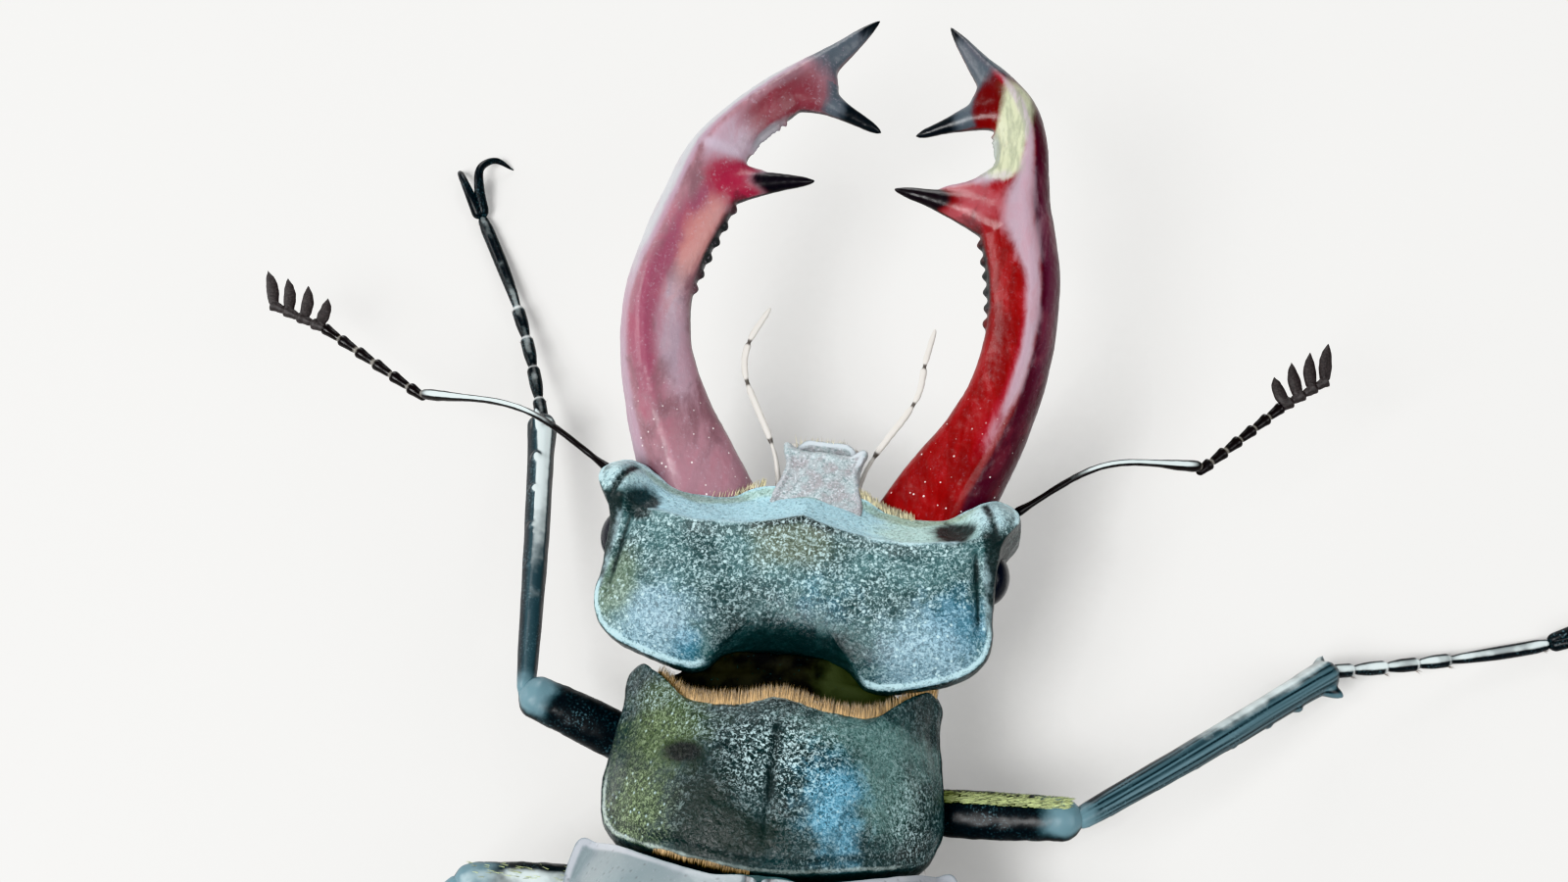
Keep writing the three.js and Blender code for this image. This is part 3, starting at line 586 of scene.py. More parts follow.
class ShellSettings(bpy.types.PropertyGroup):
    """Head, thorax and underside."""

    # Dark: the deepest horn, also the colour of painted shade in hollows, grooves and gaps and under the
    # sides
    dark: colour_property("Dark", "Deepest colour of the horn", (0.004, 0.009, 0.009))
    body: colour_property("Body", "Colour of the horn between its pits", (0.06, 0.125, 0.13))
    speck: colour_property("Speck", "Dust and light in the finest grain", (0.5, 0.67, 0.69))
    # Brow: the slope's paler horn together with painted light on it
    brow: colour_property("Brow", "Smooth slope before the crest", (0.34, 0.56, 0.64))
    lobe: colour_property("Lobe", "Rear lobes of the head", (0.17, 0.28, 0.34))
    moss: colour_property("Moss", "Olive cast at the left", (0.09, 0.13, 0.07))
    steel: colour_property("Steel", "Blue cast at the right", (0.05, 0.17, 0.25))
    # Edge: the colour of painted highlights on the rims and the knobs
    edge: colour_property("Edge", "Worn margins", (0.45, 0.65, 0.7))
    pit: length_property("Pit spacing", "Distance between pits of the horn", 0.00024)


class ClypeusSettings(bpy.types.PropertyGroup):
    """Clypeus and labrum."""

    body: colour_property("Body", "Lilac-grey horn", (0.235, 0.225, 0.235))
    # Edge: the pale colour of the fine mottle and of the painted highlights on the margins
    edge: colour_property("Edge", "Worn margins", (0.5, 0.56, 0.6))


class JawSettings(bpy.types.PropertyGroup):
    """The two jaws."""

    red: colour_property("Red", "Inner face of the right jaw", (0.19, 0.003, 0.003))
    rose: colour_property("Rose", "Face of the left jaw", (0.26, 0.135, 0.16))
    crimson: colour_property("Crimson", "Deep band along the left jaw", (0.2, 0.05, 0.085))
    maroon: colour_property("Maroon", "Outer side of the right jaw", (0.035, 0.002, 0.008))
    lilac: colour_property("Lilac", "Sheen along the ridges", (0.36, 0.31, 0.37))
    # the palest outer side and ridges are painted sheen
    frost: colour_property("Frost", "Palest outer side and ridges", (0.34, 0.36, 0.37))
    ember: colour_property("Ember", "Orange streak before the inner tooth", (0.38, 0.17, 0.15))
    slate: colour_property("Slate", "Prongs of the fork", (0.055, 0.08, 0.095))
    black: colour_property("Black", "Teeth, tips and inner edge", (0.003, 0.004, 0.005))
    straw: colour_property("Straw", "Pale bay of the right jaw", (0.42, 0.45, 0.31))
    grain: length_property("Grain", "Size of the finest mottling", 0.00016)


class WingSettings(bpy.types.PropertyGroup):
    """The two wing cases."""

    body: colour_property("Body", "Chestnut horn", (0.055, 0.014, 0.012))
    # Dark: the darkest horn, also the colour of painted shade in the seam, the rolled sides and the pits
    dark: colour_property("Dark", "Edges and depths", (0.009, 0.004, 0.005))
    # Sheen: the colour of the painted sheen at the shoulders
    sheen: colour_property("Sheen", "Lilac bloom at the shoulders", (0.17, 0.22, 0.235))


class LimbSettings(bpy.types.PropertyGroup):
    """Legs and claws."""

    body: colour_property("Body", "Black horn", (0.003, 0.004, 0.005))
    # Steel: the second tone of the limbs, used in their fine grain and for the painted sheen on shins and
    # knees
    steel: colour_property("Steel", "Blue cast of shins and knees", (0.11, 0.19, 0.22))
    joint: colour_property("Joint", "Pale skin between joints", (0.4, 0.42, 0.42))


class FeelerSettings(bpy.types.PropertyGroup):
    """Feelers, palps and eyes."""

    body: colour_property("Body", "Black-brown horn", (0.008, 0.007, 0.007))
    club: colour_property("Club", "Matt leaves of the club", (0.018, 0.014, 0.014))
    palp: colour_property("Palp", "Horn of the palps", (0.5, 0.48, 0.45))
    eye: colour_property("Eye", "Facetted eye", (0.002, 0.002, 0.004))


class HairSettings(bpy.types.PropertyGroup):
    """Fringes and nap."""

    gold: colour_property("Gold", "Fringe of the thorax shield", (0.42, 0.28, 0.13))
    nap: colour_property("Nap", "Flat hair on the thighs", (0.38, 0.44, 0.2))
    under: colour_property("Under", "Hair of the underside", (0.3, 0.16, 0.06))
    fringe: length_property("Fringe", "Length of the front fringe", 0.0009)
    thickness: length_property("Thickness", "Width of one hair at its root", 0.00005)


class StageSettings(bpy.types.PropertyGroup):
    """Floor, lights and camera."""

    floor: colour_property("Floor", "Pale floor", (0.66, 0.655, 0.64))
    distance: length_property("Distance", "From the camera to what it looks at", 0.15)
    key: bpy.props.FloatProperty(
        name="Key", description="Power of the main light", default=2.4, min=0.0, unit="POWER"
    )
    lens: bpy.props.FloatProperty(
        name="Lens", description="Focal length in millimetres", default=65.8, min=1.0, unit="CAMERA"
    )


# ---- head ---------------------------------------------------------------------------------------

HEAD_OUTLINE = symmetric([
    (0, 10.9), (2.5, 10.8), (4.6, 10.1), (6.3, 10.1), (7.8, 10.7), (9.4, 11.35), (10.6, 10.95), (10.9, 10),
    (10.1, 8.4), (10, 6.8), (10.05, 5.2), (10.2, 3.8), (9.8, 2.5), (8.7, 1.6), (7.2, 1.05), (5.4, 0.6),
    (4.2, 0.65), (3.1, 1.6), (0, 2.1),
])
HEAD_TOP = 3.5
CHEEK_GROOVE = ((8.9, 8.0), (9.5, 4.0))  # runs back from each knob
KNOB_CREVICE = ((9.1, 10.7), (9.9, 8.8))  # lies between each knob and the front corner
CLYPEUS_SHIFT = 0.35  # towards the beetle's right
CLYPEUS_OUTLINE = symmetric([(0, 13.1), (1.3, 13.1), (2.1, 13.5), (1.85, 12.2), (2.3, 9.4), (0, 9.4)])
LABRUM_OUTLINE = symmetric([(0, 14), (1.2, 13.9), (1.7, 13.1), (1.6, 10.8), (0, 10.6)])
MENTUM_OUTLINE = symmetric([(0, 11.8), (2.4, 11.4), (3.6, 9), (3.2, 6), (0, 5.4)])


def crest(x):
    """How far forward the crest of the head runs, dipping on each side of the middle."""
    return 8.7 - 0.85 * np.sin(np.minimum(np.abs(x) / 9.5, 1) * np.pi)


def clypeus_top(y):
    """The clypeus slopes gently to its front edge."""
    return 1.25 - 0.3 * (y - 10)


def crown(x, y, rim, edge):
    """Swollen rear lobes, a hollow between them, and a crest with a slope before it."""
    side = np.abs(x)
    lobes = 0.45 * hill(side, y, 6.6, 3.4, 3.2)
    hollow = 1.1 * hill(x, y, 0, 1.2, 2.4)
    knobs = 1.9 * hill(side, y, 9.7, 10.3, 1.4)
    ahead = y - crest(x)
    slope = 1.25 * np.maximum(0, ahead)
    rounding = (1.6 + (0.2 - 1.6) * step(y, 7.5, 9.5)) * rim**7
    height = HEAD_TOP + lobes - hollow + knobs - slope - rounding
    neck_of_clypeus = clypeus_top(y) - 0.05 - 0.35 * np.maximum(0, side - 2.2) ** 2
    height = np.where(ahead > 0, np.maximum(height, neck_of_clypeus), height)
    ridge = 0.16 * band(ahead, -0.05, 0.28) * step(8.8 - side, 0, 2)
    behind_ridge = 0.1 * band(ahead, -0.75, 0.4) * step(8.8 - side, 0, 2)
    pits = 0.4 * hill(x, y, -8.3, 8.5, 0.8) + 0.4 * hill(x, y, 7.8, 9.3, 0.8)
    bead = 0.07 * band(edge, 0.13, 0.11) - 0.06 * band(edge, 0.45, 0.22)
    bead = bead * step(4.9 - y, 0, 0.8) * step(side, 3.4, 4.4)
    cheek = 0.3 * band(segment_distance(side, y, *CHEEK_GROOVE), 0, 0.22)
    crevice = 0.3 * band(segment_distance(side, y, *KNOB_CREVICE), 0, 0.2)
    return height + ridge - behind_ridge - pits + bead - cheek - crevice


def gula(x, y, rim, edge):
    """The underside: deep in front, where the jaws hinge, and tucked up behind to a thin rim."""
    return -3.9 + (4.9 + (1.9 - 4.9) * step(y, 4, 9)) * rim**4


def segment_distance(x, y, start, end):
    """How far the points (x, y) lie from a straight segment in the plan."""
    (x0, y0), (x1, y1) = start, end
    dx, dy = x1 - x0, y1 - y0
    t = np.clip(((x - x0) * dx + (y - y0) * dy) / (dx * dx + dy * dy), 0, 1)
    return np.hypot(x - x0 - t * dx, y - y0 - t * dy)


def shell_finish(name, settings, tints, gloss=0.4, pit=None, depth=1.0, speck_tints=()):
    """Pitted horn with a wormy grain of pale powder and painted glints, which the given speck tints colour,
    and painted shade in the grain's low parts. depth below 1 darkens the horn.
    """
    finish = Finish(name)
    size = settings.pit / MM if pit is None else pit
    clouds = finish.grain(2.6, detail=3)
    breakup = finish.grain(0.9, detail=4, roughness=0.6)
    body = [depth * value for value in settings.body]
    colour = finish.mix(finish.between(clouds, 0.32, 0.68, 0.35, 1), settings.dark, body)
    colour = tinted(finish, colour, tints, breakup)
    worms = finish.grain(size * 0.66, detail=3, roughness=0.6, distortion=1.1)
    dust = finish.math("MULTIPLY", finish.mask("dust"), finish.between(breakup, 0.2, 0.6, 0.45, 1))
    # painted shade: the low parts of the wormy grain are darkened, more where the pale grain is
    pit_shade = finish.between(worms, 0.38, 0.49, 0.5 if depth == 1 else 0.85, 0)
    pit_shade = finish.math("MULTIPLY", pit_shade, finish.between(dust, 0, 0.7, 0.5, 1))
    colour = finish.mix(pit_shade, colour, settings.dark)
    # the pale colour of the grain's high parts: powder together with painted light
    light = tinted(finish, settings.speck, speck_tints, breakup) if speck_tints else settings.speck
    light = finish.mix(0.85 - 0.3 * depth, colour, light)
    colour = finish.mix(finish.math("MULTIPLY", finish.between(worms, 0.5, 0.62), dust), colour, light)
    # painted glints: small pale dots of the speck colour
    glints = finish.math("MULTIPLY", finish.between(finish.cells(size * 1.9), 0.1, 0.22, 1, 0), dust)
    colour = finish.mix(finish.math("MULTIPLY", glints, 0.7), colour, settings.speck)
    finish.bump(worms, 0.06, 0.8)
    finish.bump(finish.between(finish.cells(size * 1.4), 0.05, 0.5), 0.04, 0.5)
    rough = finish.between(finish.grain(1.4, detail=3), 0.3, 0.7, gloss - 0.08, gloss + 0.1)
    finish.set(specular_ior_level=0.3)
    return finish.done(colour, rough)


def head_piece(settings):
    """The head capsule with its crest, knobs, lobes and margins."""
    shape = plate(HEAD_OUTLINE, (0, 5.4), crown, gula, around=420, inner=64, wall=9, bulge=0.06)
    x, y = shape.points[:, :2].T
    side = np.abs(x)
    ahead = y - crest(x)
    edge = shape.values["edge"]
    top = step(shape.values["upper"], 0.3, 0.9)
    # brow: the smooth slope before the crest, in its own paler horn and painted brighter as light on a slope
    # that faces forward; its right part is tinted greener
    brow = top * step(ahead, -0.1, 0.25) * step(9.6 - side, 0, 1.5)
    hollow = hill(x / 2.1, y, 0.15, 1.7, 2.1)
    beyond_cheek = step(side - 9.1 - 0.15 * (8 - y), 0.1, 0.35) * step(y, 3.4, 4.4) * step(9.3 - y, 0, 0.6)
    side_line = band(segment_distance(side, y, *CHEEK_GROOVE), 0, 0.17) * step(y, 3.6, 5.0)
    crevice = band(segment_distance(side, y, *KNOB_CREVICE), 0, 0.22)
    sockets = np.maximum(hill(x, y, -8.4, 8.6, 1.2), hill(x / 1.3, y, 5.9, 9.0, 1.1))
    sockets = top * step(sockets, 0.15, 0.95)
    lobe_rim = band(edge, 0.13, 0.12) * step(4.9 - y, 0, 0.8) * step(side, 3.6, 4.4)
    shape.set(
        brow=brow,
        # foot: painted shade, darker along the front margin of the brow
        foot=brow * band(edge, 0.35, 0.3),
        # knob: painted highlight on the knobs
        knob=top * hill(side, y, 9.5, 10.2, 1.2),
        lobe=top * np.maximum(hill(x, y, 7.0, 2.0, 2.6), hill(x, y, -6.9, 2.3, 2.2)),
        moss=top * np.maximum(hill(x / 0.7, y, -12.9, 4.2, 1.8), 0.75 * hill(x, y, -8.9, 10.2, 0.7)),
        steel=top * np.maximum.reduce([
            hill(x, y, 8.5, 4.0, 1.8), hill(x, y, -5.0, 1.5, 1.0), 0.35 * hill(x, y, 1.4, 4.4, 2.2),
        ]),
        olive=top * hill(x / 1.6, y, -0.2, 7.3, 1.4),
        # dark: painted shade in the rear hollow, the sockets, the crevices, the cheek grooves, the side walls
        # beyond the cheeks, under the middle of the crest and on the sides and underside
        dark=np.maximum.reduce([
            sockets, top * hollow, top * crevice, top * 0.8 * side_line,
            top * beyond_cheek, top * band(ahead, -0.12, 0.2) * band(x, 0, 3.0),
            step(0.7 - shape.values["upper"], 0, 0.2),
        ]),
        # painted highlight along the rims of the rear lobes, the crest, the front corners and beside the
        # cheek grooves
        worn=top * np.maximum.reduce([
            0.8 * lobe_rim, 0.5 * band(ahead, 0.06, 0.16) * step(side, 2.2, 3.6) * step(8.6 - side, 0, 1),
            band(edge, 0.12, 0.12) * step(y, 9.3, 9.9) * step(side, 6.0, 7.4),
            0.35 * band(segment_distance(side - 0.5, y, *CHEEK_GROOVE), 0, 0.25) * step(y, 3.6, 5.0),
        ]),
        brow_right=brow * step(x, 2, 6),
        dust=top * np.clip(1.1 - 1.6 * hollow - 0.55 * brow - 0.9 * crevice - beyond_cheek - sockets, 0.03, 1)
        * (1 - 0.3 * hill(x / 0.7, y, -12.9, 4.2, 1.8)) * (1 - side_line),
    )
    shape = roughened(shape, (1.6, 0.06), (0.45, 0.03))
    tints = [
        ("olive", (0.11, 0.135, 0.095), 0.8),
        ("steel", settings.steel, 0.75),
        ("lobe", settings.lobe, 0.8),
        ("moss", settings.moss, 0.65),
        ("brow", settings.brow, 0.88),
        ("brow_right", (0.36, 0.53, 0.47), 0.8),
        ("foot", (0.2, 0.27, 0.17), 0.6),
        ("knob", settings.edge, 0.6),
        ("dark", settings.dark, 0.97),
        ("worn", settings.edge, 0.9),
    ]
    speck_tints = [
        ("lobe", (0.42, 0.56, 0.62), 0.8),
        ("steel", (0.3, 0.5, 0.62), 0.7),
        ("moss", (0.36, 0.46, 0.38), 0.8),
    ]
    material = shell_finish("horn_head", settings, tints, speck_tints=speck_tints)
    return make_piece("head_capsule", shape, HEAD, material, "shell", "head")


class BEETLE_OT_head(bpy.types.Operator):
    """Make the head capsule and the chin plate"""

    bl_idname = "beetle.head"
    bl_label = "Head"

    def execute(self, context):
        settings = context.scene.beetle_shell
        head_piece(settings)

        def chin_bottom(x, y, rim, edge):
            """The chin is tucked up towards its rim."""
            return -4.9 + 0.6 * rim**3

        chin = plate(MENTUM_OUTLINE, (0, 8.6), level(-2.6), chin_bottom, around=160, inner=20, wall=5)
        chin = roughened(chin, (0.5, 0.04))
        material = shell_finish("horn_chin", settings, [])
        make_piece("chin_plate", chin, HEAD, material, "shell", "mentum")
        return {"FINISHED"}


class BEETLE_OT_clypeus(bpy.types.Operator):
    """Make the clypeus and the upper lip before it"""

    bl_idname = "beetle.clypeus"
    bl_label = "Clypeus"

    def execute(self, context):
        settings = context.scene.beetle_clypeus
        shell = context.scene.beetle_shell

        def top(x, y, rim, edge):
            """The ridge along its middle and the bead along its margin."""
            return clypeus_top(y) + 0.1 * band(edge, 0.15, 0.15) + 0.12 * band(x, 0, 1.2)

        shape = plate(CLYPEUS_OUTLINE, (0, 11), top, level(-0.5), around=220, inner=30)
        shape.points[:, 0] += CLYPEUS_SHIFT
        x, y = shape.points[:, :2].T
        # painted highlight along the margin except at the rear, stronger at the front corners
        rim = band(shape.values["edge"], 0.08, 0.12) * step(y, 9.8, 10.6)
        corners = 0.7 * step(np.abs(x), 1.3, 1.9) * step(y, 12.0, 12.8)
        shape.set(worn=shape.values["upper"] * rim * np.maximum(0.25, corners))
        shape = roughened(shape, (0.5, 0.05), (0.2, 0.02))
        finish = Finish("horn_clypeus")
        fine = finish.grain(0.13, detail=3, roughness=0.7, distortion=0.6)
        breakup = finish.grain(0.7, detail=3)
        colour = finish.mix(finish.between(breakup, 0.35, 0.65), (0.26, 0.31, 0.32), settings.body)
        colour = finish.mix(finish.between(fine, 0.52, 0.68, 0, 0.75), colour, settings.edge)
        colour = finish.mix(finish.between(fine, 0.34, 0.46, 0.7, 0), colour, shell.body)
        colour = tinted(finish, colour, [("worn", settings.edge, 0.8)], breakup)
        finish.bump(fine, 0.04, 0.8)
        finish.set(specular_ior_level=0.4)
        material = finish.done(colour, finish.between(breakup, 0.3, 0.7, 0.36, 0.5))
        make_piece("clypeus_plate", shape, HEAD, material, "clypeus", "clypeus")

        def lip(x, y, rim, edge):
            """The upper lip slopes forward and has a bead along its margin."""
            return -0.2 - 0.25 * (y - 12) + 0.06 * band(edge, 0.15, 0.12)

        shape = plate(LABRUM_OUTLINE, (0, 12), lip, level(-1.2), around=160, inner=20)
        shape.points[:, 0] += CLYPEUS_SHIFT
        # painted highlight along the margin of the upper lip
        shape.set(worn=shape.values["upper"] * band(shape.values["edge"], 0.1, 0.14))
        make_piece("upper_lip", roughened(shape, (0.4, 0.04)), HEAD, material, "clypeus", "labrum")
        return {"FINISHED"}


# ---- jaws ---------------------------------------------------------------------------------------

JAW_LINE = [
    (5.6, 8.6, -1.4), (6.9, 12, -1), (8.4, 15, -0.4), (9.4, 18, 0.1), (9.75, 21, 0.5), (9.5, 24, 0.8),
    (8.8, 27, 1), (8.45, 29, 1.05), (7.7, 30.9, 1.05), (6.5, 32.6, 1), (5.2, 34.2, 0.9), (3.7, 35.9, 0.7),
    (1.9, 38.05, 0.4),
]
JAW_PROFILE = [
    (0, 3.2, 2.1), (0.113, 2.65, 2.1), (0.217, 2.2, 2), (0.316, 1.92, 1.85), (0.41, 1.85, 1.75),
    (0.5, 1.95, 1.65), (0.59, 2, 1.55), (0.66, 1.6, 1.35), (0.72, 1.35, 1.2), (0.785, 1.35, 1.15),
    (0.85, 1.05, 0.95), (0.916, 0.62, 0.62), (1, 0.2, 0.2),
]
JAW_SECTION = [
    (1, -0.05), (0.86, 0.42), (0.55, 0.82), (0.27, 1), (0, 0.93), (-0.4, 0.76), (-0.8, 0.5), (-0.98, 0.22),
    (-0.97, -0.2), (-0.8, -0.6), (-0.3, -0.95), (0.25, -0.95), (0.6, -0.8), (0.9, -0.45),
]
JAW_LEAN = 2  # how far both jaw tips lie to the beetle's right
INNER_TOOTH = [(8.7, 26.4, 1), (6.4, 27.2, 1.1), (4.2, 27.65, 1.1), (2.1, 28, 1)]
INNER_TOOTH_PROFILE = [(0, 1.4, 1.3), (0.4, 0.95, 0.9), (0.7, 0.5, 0.5), (1, 0.2, 0.2)]
FORK_TOOTH = [(6.1, 33, 1), (4.4, 32.8, 0.9), (2.8, 32.15, 0.7), (1, 31.4, 0.4)]
FORK_TOOTH_PROFILE = [(0, 1.1, 0.95), (0.35, 0.8, 0.75), (0.65, 0.45, 0.45), (1, 0.2, 0.2)]
FORK_WEB = [(4.7, 34.8, 0.85), (4.4, 33.85, 0.85), (4.1, 32.9, 0.85)]  # fills the fork's notch
FORK_WEB_PROFILE = [(0, 0.75, 0.7), (1, 0.75, 0.7)]
BAY_WEBS = {  # fill the corner between the inner tooth and the beam beyond it
    -1: ([(8.6, 28.3, 1), (7.2, 28, 1.05), (4.4, 27.95, 1.05)],
         [(0, 1.4, 1), (0.35, 0.95, 0.85), (0.65, 0.5, 0.6), (1, 0.25, 0.25)]),
    1: ([(8.8, 28.6, 1), (7.2, 28.3, 1.05), (4.4, 28.1, 1.05)],
        [(0, 1.9, 1), (0.35, 1.45, 0.85), (0.65, 0.65, 0.6), (1, 0.25, 0.25)]),
}
DENTICLES = [(0.42, 0.57, 6, 0.24, 0.4), (0.68, 0.765, 9, 0.3, 0.2)]  # from, to, count, reach, radius
JAW_VOXEL = 0.075
NOTCH_ROUNDS = 90  # how often the inner corners of a jaw are smoothed
NOTCH_SPREAD = 1.4  # how far round the fork's notch the smoothing reaches
TOOTH_CORNER = (6.9, 28.6)  # the inner corner beyond the tooth
CORNER_SPREAD = 1.3


def leaning(point, sign):
    """A point of a jaw's line: mirrored, both tips leaning the same way and the left jaw further in."""
    x, y, z = point
    lean = JAW_LEAN * float(step(y - 0.35 * (x - 9.6), 27, 36))
    inset = 0.8 * math.exp(-(((y - 26.5) / 4) ** 2)) + 0.5 * float(step(-y, -12, -8))
    return np.array([sign * x + lean + (inset if sign < 0 else 0), y, z])


def line_places(points, line, profile, sign):
    """For points near a smooth line: the share along it, and how far outward from it they lie."""
    fine = smooth_curve(line, FINE)
    side, _ = crosswise(unit(np.gradient(fine, axis=0)))
    tree = kdtree.KDTree(len(fine))
    for index, point in enumerate(fine):
        tree.insert(point, index)
    tree.balance()
    nearest = np.array([tree.find(point)[1] for point in points])
    share = nearest / (FINE - 1)
    half = smooth_profile(profile, share)[:, 0]
    away = points - fine[nearest]
    return share, np.sum(away * side[nearest], axis=1) / half * sign


def denticles(line, sign):
    """The blunt beads along the inner edge of a jaw."""
    fine = smooth_curve(line, FINE)
    beads = []
    for first, last, count, reach, radius in DENTICLES:
        bead = [(0, radius, radius), (0.6, radius * 0.95, radius * 0.9), (1, radius * 0.6, radius * 0.6)]
        for share in np.linspace(first, last, count):
            index = int(share * (FINE - 1))
            inward = np.cross(fine[index + 1] - fine[index - 1], UP)
            inward *= -sign / np.linalg.norm(inward)
            half = smooth_profile(JAW_PROFILE, np.array([share]))[0][0]
            foot = fine[index] + inward * half * 0.7 + UP * 0.1
            tip = fine[index] + inward * (half + reach)
            beads.append(sweep([foot, (foot + tip) / 2, tip], bead, oval(14), rings=20, blunt=(0.1, 0.45)))
    return beads


def jaw_shape(sign):
    """One jaw: a flattened beam with an inner tooth, a forked tip and rows of denticles."""
    section = [(sign * outward, up) for outward, up in JAW_SECTION]
    section = smooth_curve(section[::-1] if sign < 0 else section, 44, closed=True)
    line = [leaning(point, sign) for point in JAW_LINE]
    tooth = [(sign * x, y, z) for x, y, z in INNER_TOOTH]
    fork = [leaning(point, sign) for point in FORK_TOOTH]
    fork_web = [leaning(point, sign) for point in FORK_WEB]
    bay_web, bay_profile = BAY_WEBS[sign]
    bay_web = [(sign * x, y, z) for x, y, z in bay_web]
    parts = [
        sweep(line, JAW_PROFILE, section, rings=220, blunt=(0.03, 0.05)),
        sweep(tooth, INNER_TOOTH_PROFILE, oval(24), rings=60, blunt=(0.1, 0.16)),
        sweep(fork, FORK_TOOTH_PROFILE, oval(24), rings=60, blunt=(0.1, 0.16)),
        sweep(fork_web, FORK_WEB_PROFILE, oval(24), rings=30, blunt=(0.3, 0.3)),
        sweep(bay_web, bay_profile, oval(24), rings=60, blunt=(0.2, 0.2)),
        *denticles(line, sign),
    ]
    shape = fused(parts, JAW_VOXEL, 5)
    x, y = shape.points[:, :2].T
    corners = np.maximum(
        hill(x, y, *fork_web[1][:2], NOTCH_SPREAD), hill(sign * x, y, *TOOTH_CORNER, CORNER_SPREAD)
    )
    shape = eased(shape, np.minimum(1.2 * corners, 1), NOTCH_ROUNDS)
    share, u = line_places(shape.points, line, JAW_PROFILE, sign)
    x, y = shape.points[:, :2].T
    reach = sign * x
    tooth_share = np.clip((8.7 - reach) / 6.6, 0, 1) * band(y, 27.4 + 0.09 * (6 - reach), 1.3)
    fork_foot, fork_tip = fork[0][:2], fork[-1][:2]
    on_fork = segment_distance(x, y, fork_foot, fork_tip) < 1.3
    fork_share = np.clip(np.linalg.norm(shape.points[:, :2] - fork_foot, axis=1) / 5.4, 0, 1) * on_fork
    normals = normals_of(shape)
    facing = step(normals[:, 2], -0.1, 0.5)
    beam = facing * (tooth_share < 0.62)
    body = beam * (1 - step(share, 0.56, 0.62))
    crest_line = segment_distance(reach, y, (8.0, 29.1), (4.4, 28.4))
    both = {
        # painted highlight along the upper edge of the inner tooth
        "bar": 0.65 * facing * band(crest_line, 0, 0.4),
        # inner: painted shade on the inner side wall
        "inner": step(-u, 0.3, 0.75) * (1 - step(normals[:, 2], 0.0, 0.35)),
        # lower: painted shade on faces turned down
        "lower": step(-normals[:, 2], 0.1, 0.5),
        "slate": facing * np.maximum(step(share, 0.83, 0.9), step(fork_share, 0.3, 0.5) * (share > 0.6)),
        "tips": np.maximum.reduce([
            step(share, 0.93, 0.99), step(tooth_share, 0.4, 0.6) * (y < 29.4),
            step(fork_share, 0.45, 0.75) * (share > 0.6),
        ]),
        "teeth": band(share, 0.495, 0.1) * step(-u, 0.8, 1.0) * (tooth_share < 0.3),
        # beads: painted highlight on the beads of the bay
        "beads": band(share, 0.722, 0.05) * step(-u, 0.8, 1.0) * (tooth_share < 0.3),
        # painted glints: white specks near the base
        "dots": facing * step(0.34 - share, 0, 0.3),
        "tooth": facing * band(tooth_share, 0.3, 0.2),
        "arm": facing * band(share, 0.85 if sign > 0 else 0.78, 0.07) * step(0.35 - u, 0, 0.5),
    }
    if sign > 0:
        by_tooth = band(share, 0.61, 0.09)
        ridge = band(u, 0.3 - 0.25 * by_tooth, 0.19 + 0.27 * by_tooth)
        bay = band(u, -0.75 + 1.1 * step(share, 0.7, 0.84), 0.85)
        bay *= step(share, 0.64, 0.69) * step(1 - share, 0.1, 0.24)
        shape.set(
            **both,
            flush=beam * band(u, 0.22, 0.22) * step(share, 0.1, 0.3),
            outer=step(u, 0.36, 0.6),
            glow=facing * band(u, 0.78, 0.2) * band(share, 0.5, 0.2),
            # ridge: painted highlight band along the ridge of the right jaw
            ridge=beam * ridge * step(share, 0.12, 0.4) * step(1 - share, 0.1, 0.2),
            bay=beam * step(bay, 0.15, 0.75),
        )
    else:
        middle = 0.32 - 0.7 * step(share, 0.3, 0.58)
        shape.set(
            **both,
            mauve=body * step(0.2 - share, 0, 0.14),
            crimson=body * band(u, middle, 0.42) * step(share, 0.12, 0.34),
            sheen=body * band(u, -0.5, 0.45) * band(share, 0.33, 0.13),
            ember=body * band(u, -0.6, 0.4) * band(share, 0.5, 0.1),
            outer=step(u - 0.32 * (1 - step(share, 0.34, 0.5)), 0.3, 0.6) * step(1 - share, 0.08, 0.2),
            # painted sheen on the pale outer side of the left jaw
            frost=beam * step(u, 0.45, 0.8) * step(share, 0.36, 0.5) * step(1 - share, 0.12, 0.22),
            bay=beam * band(share, 0.66, 0.05) * step(0.5 - u, 0, 0.5),
        )
    return roughened(shape, (1.2, 0.03), (0.3, 0.012))


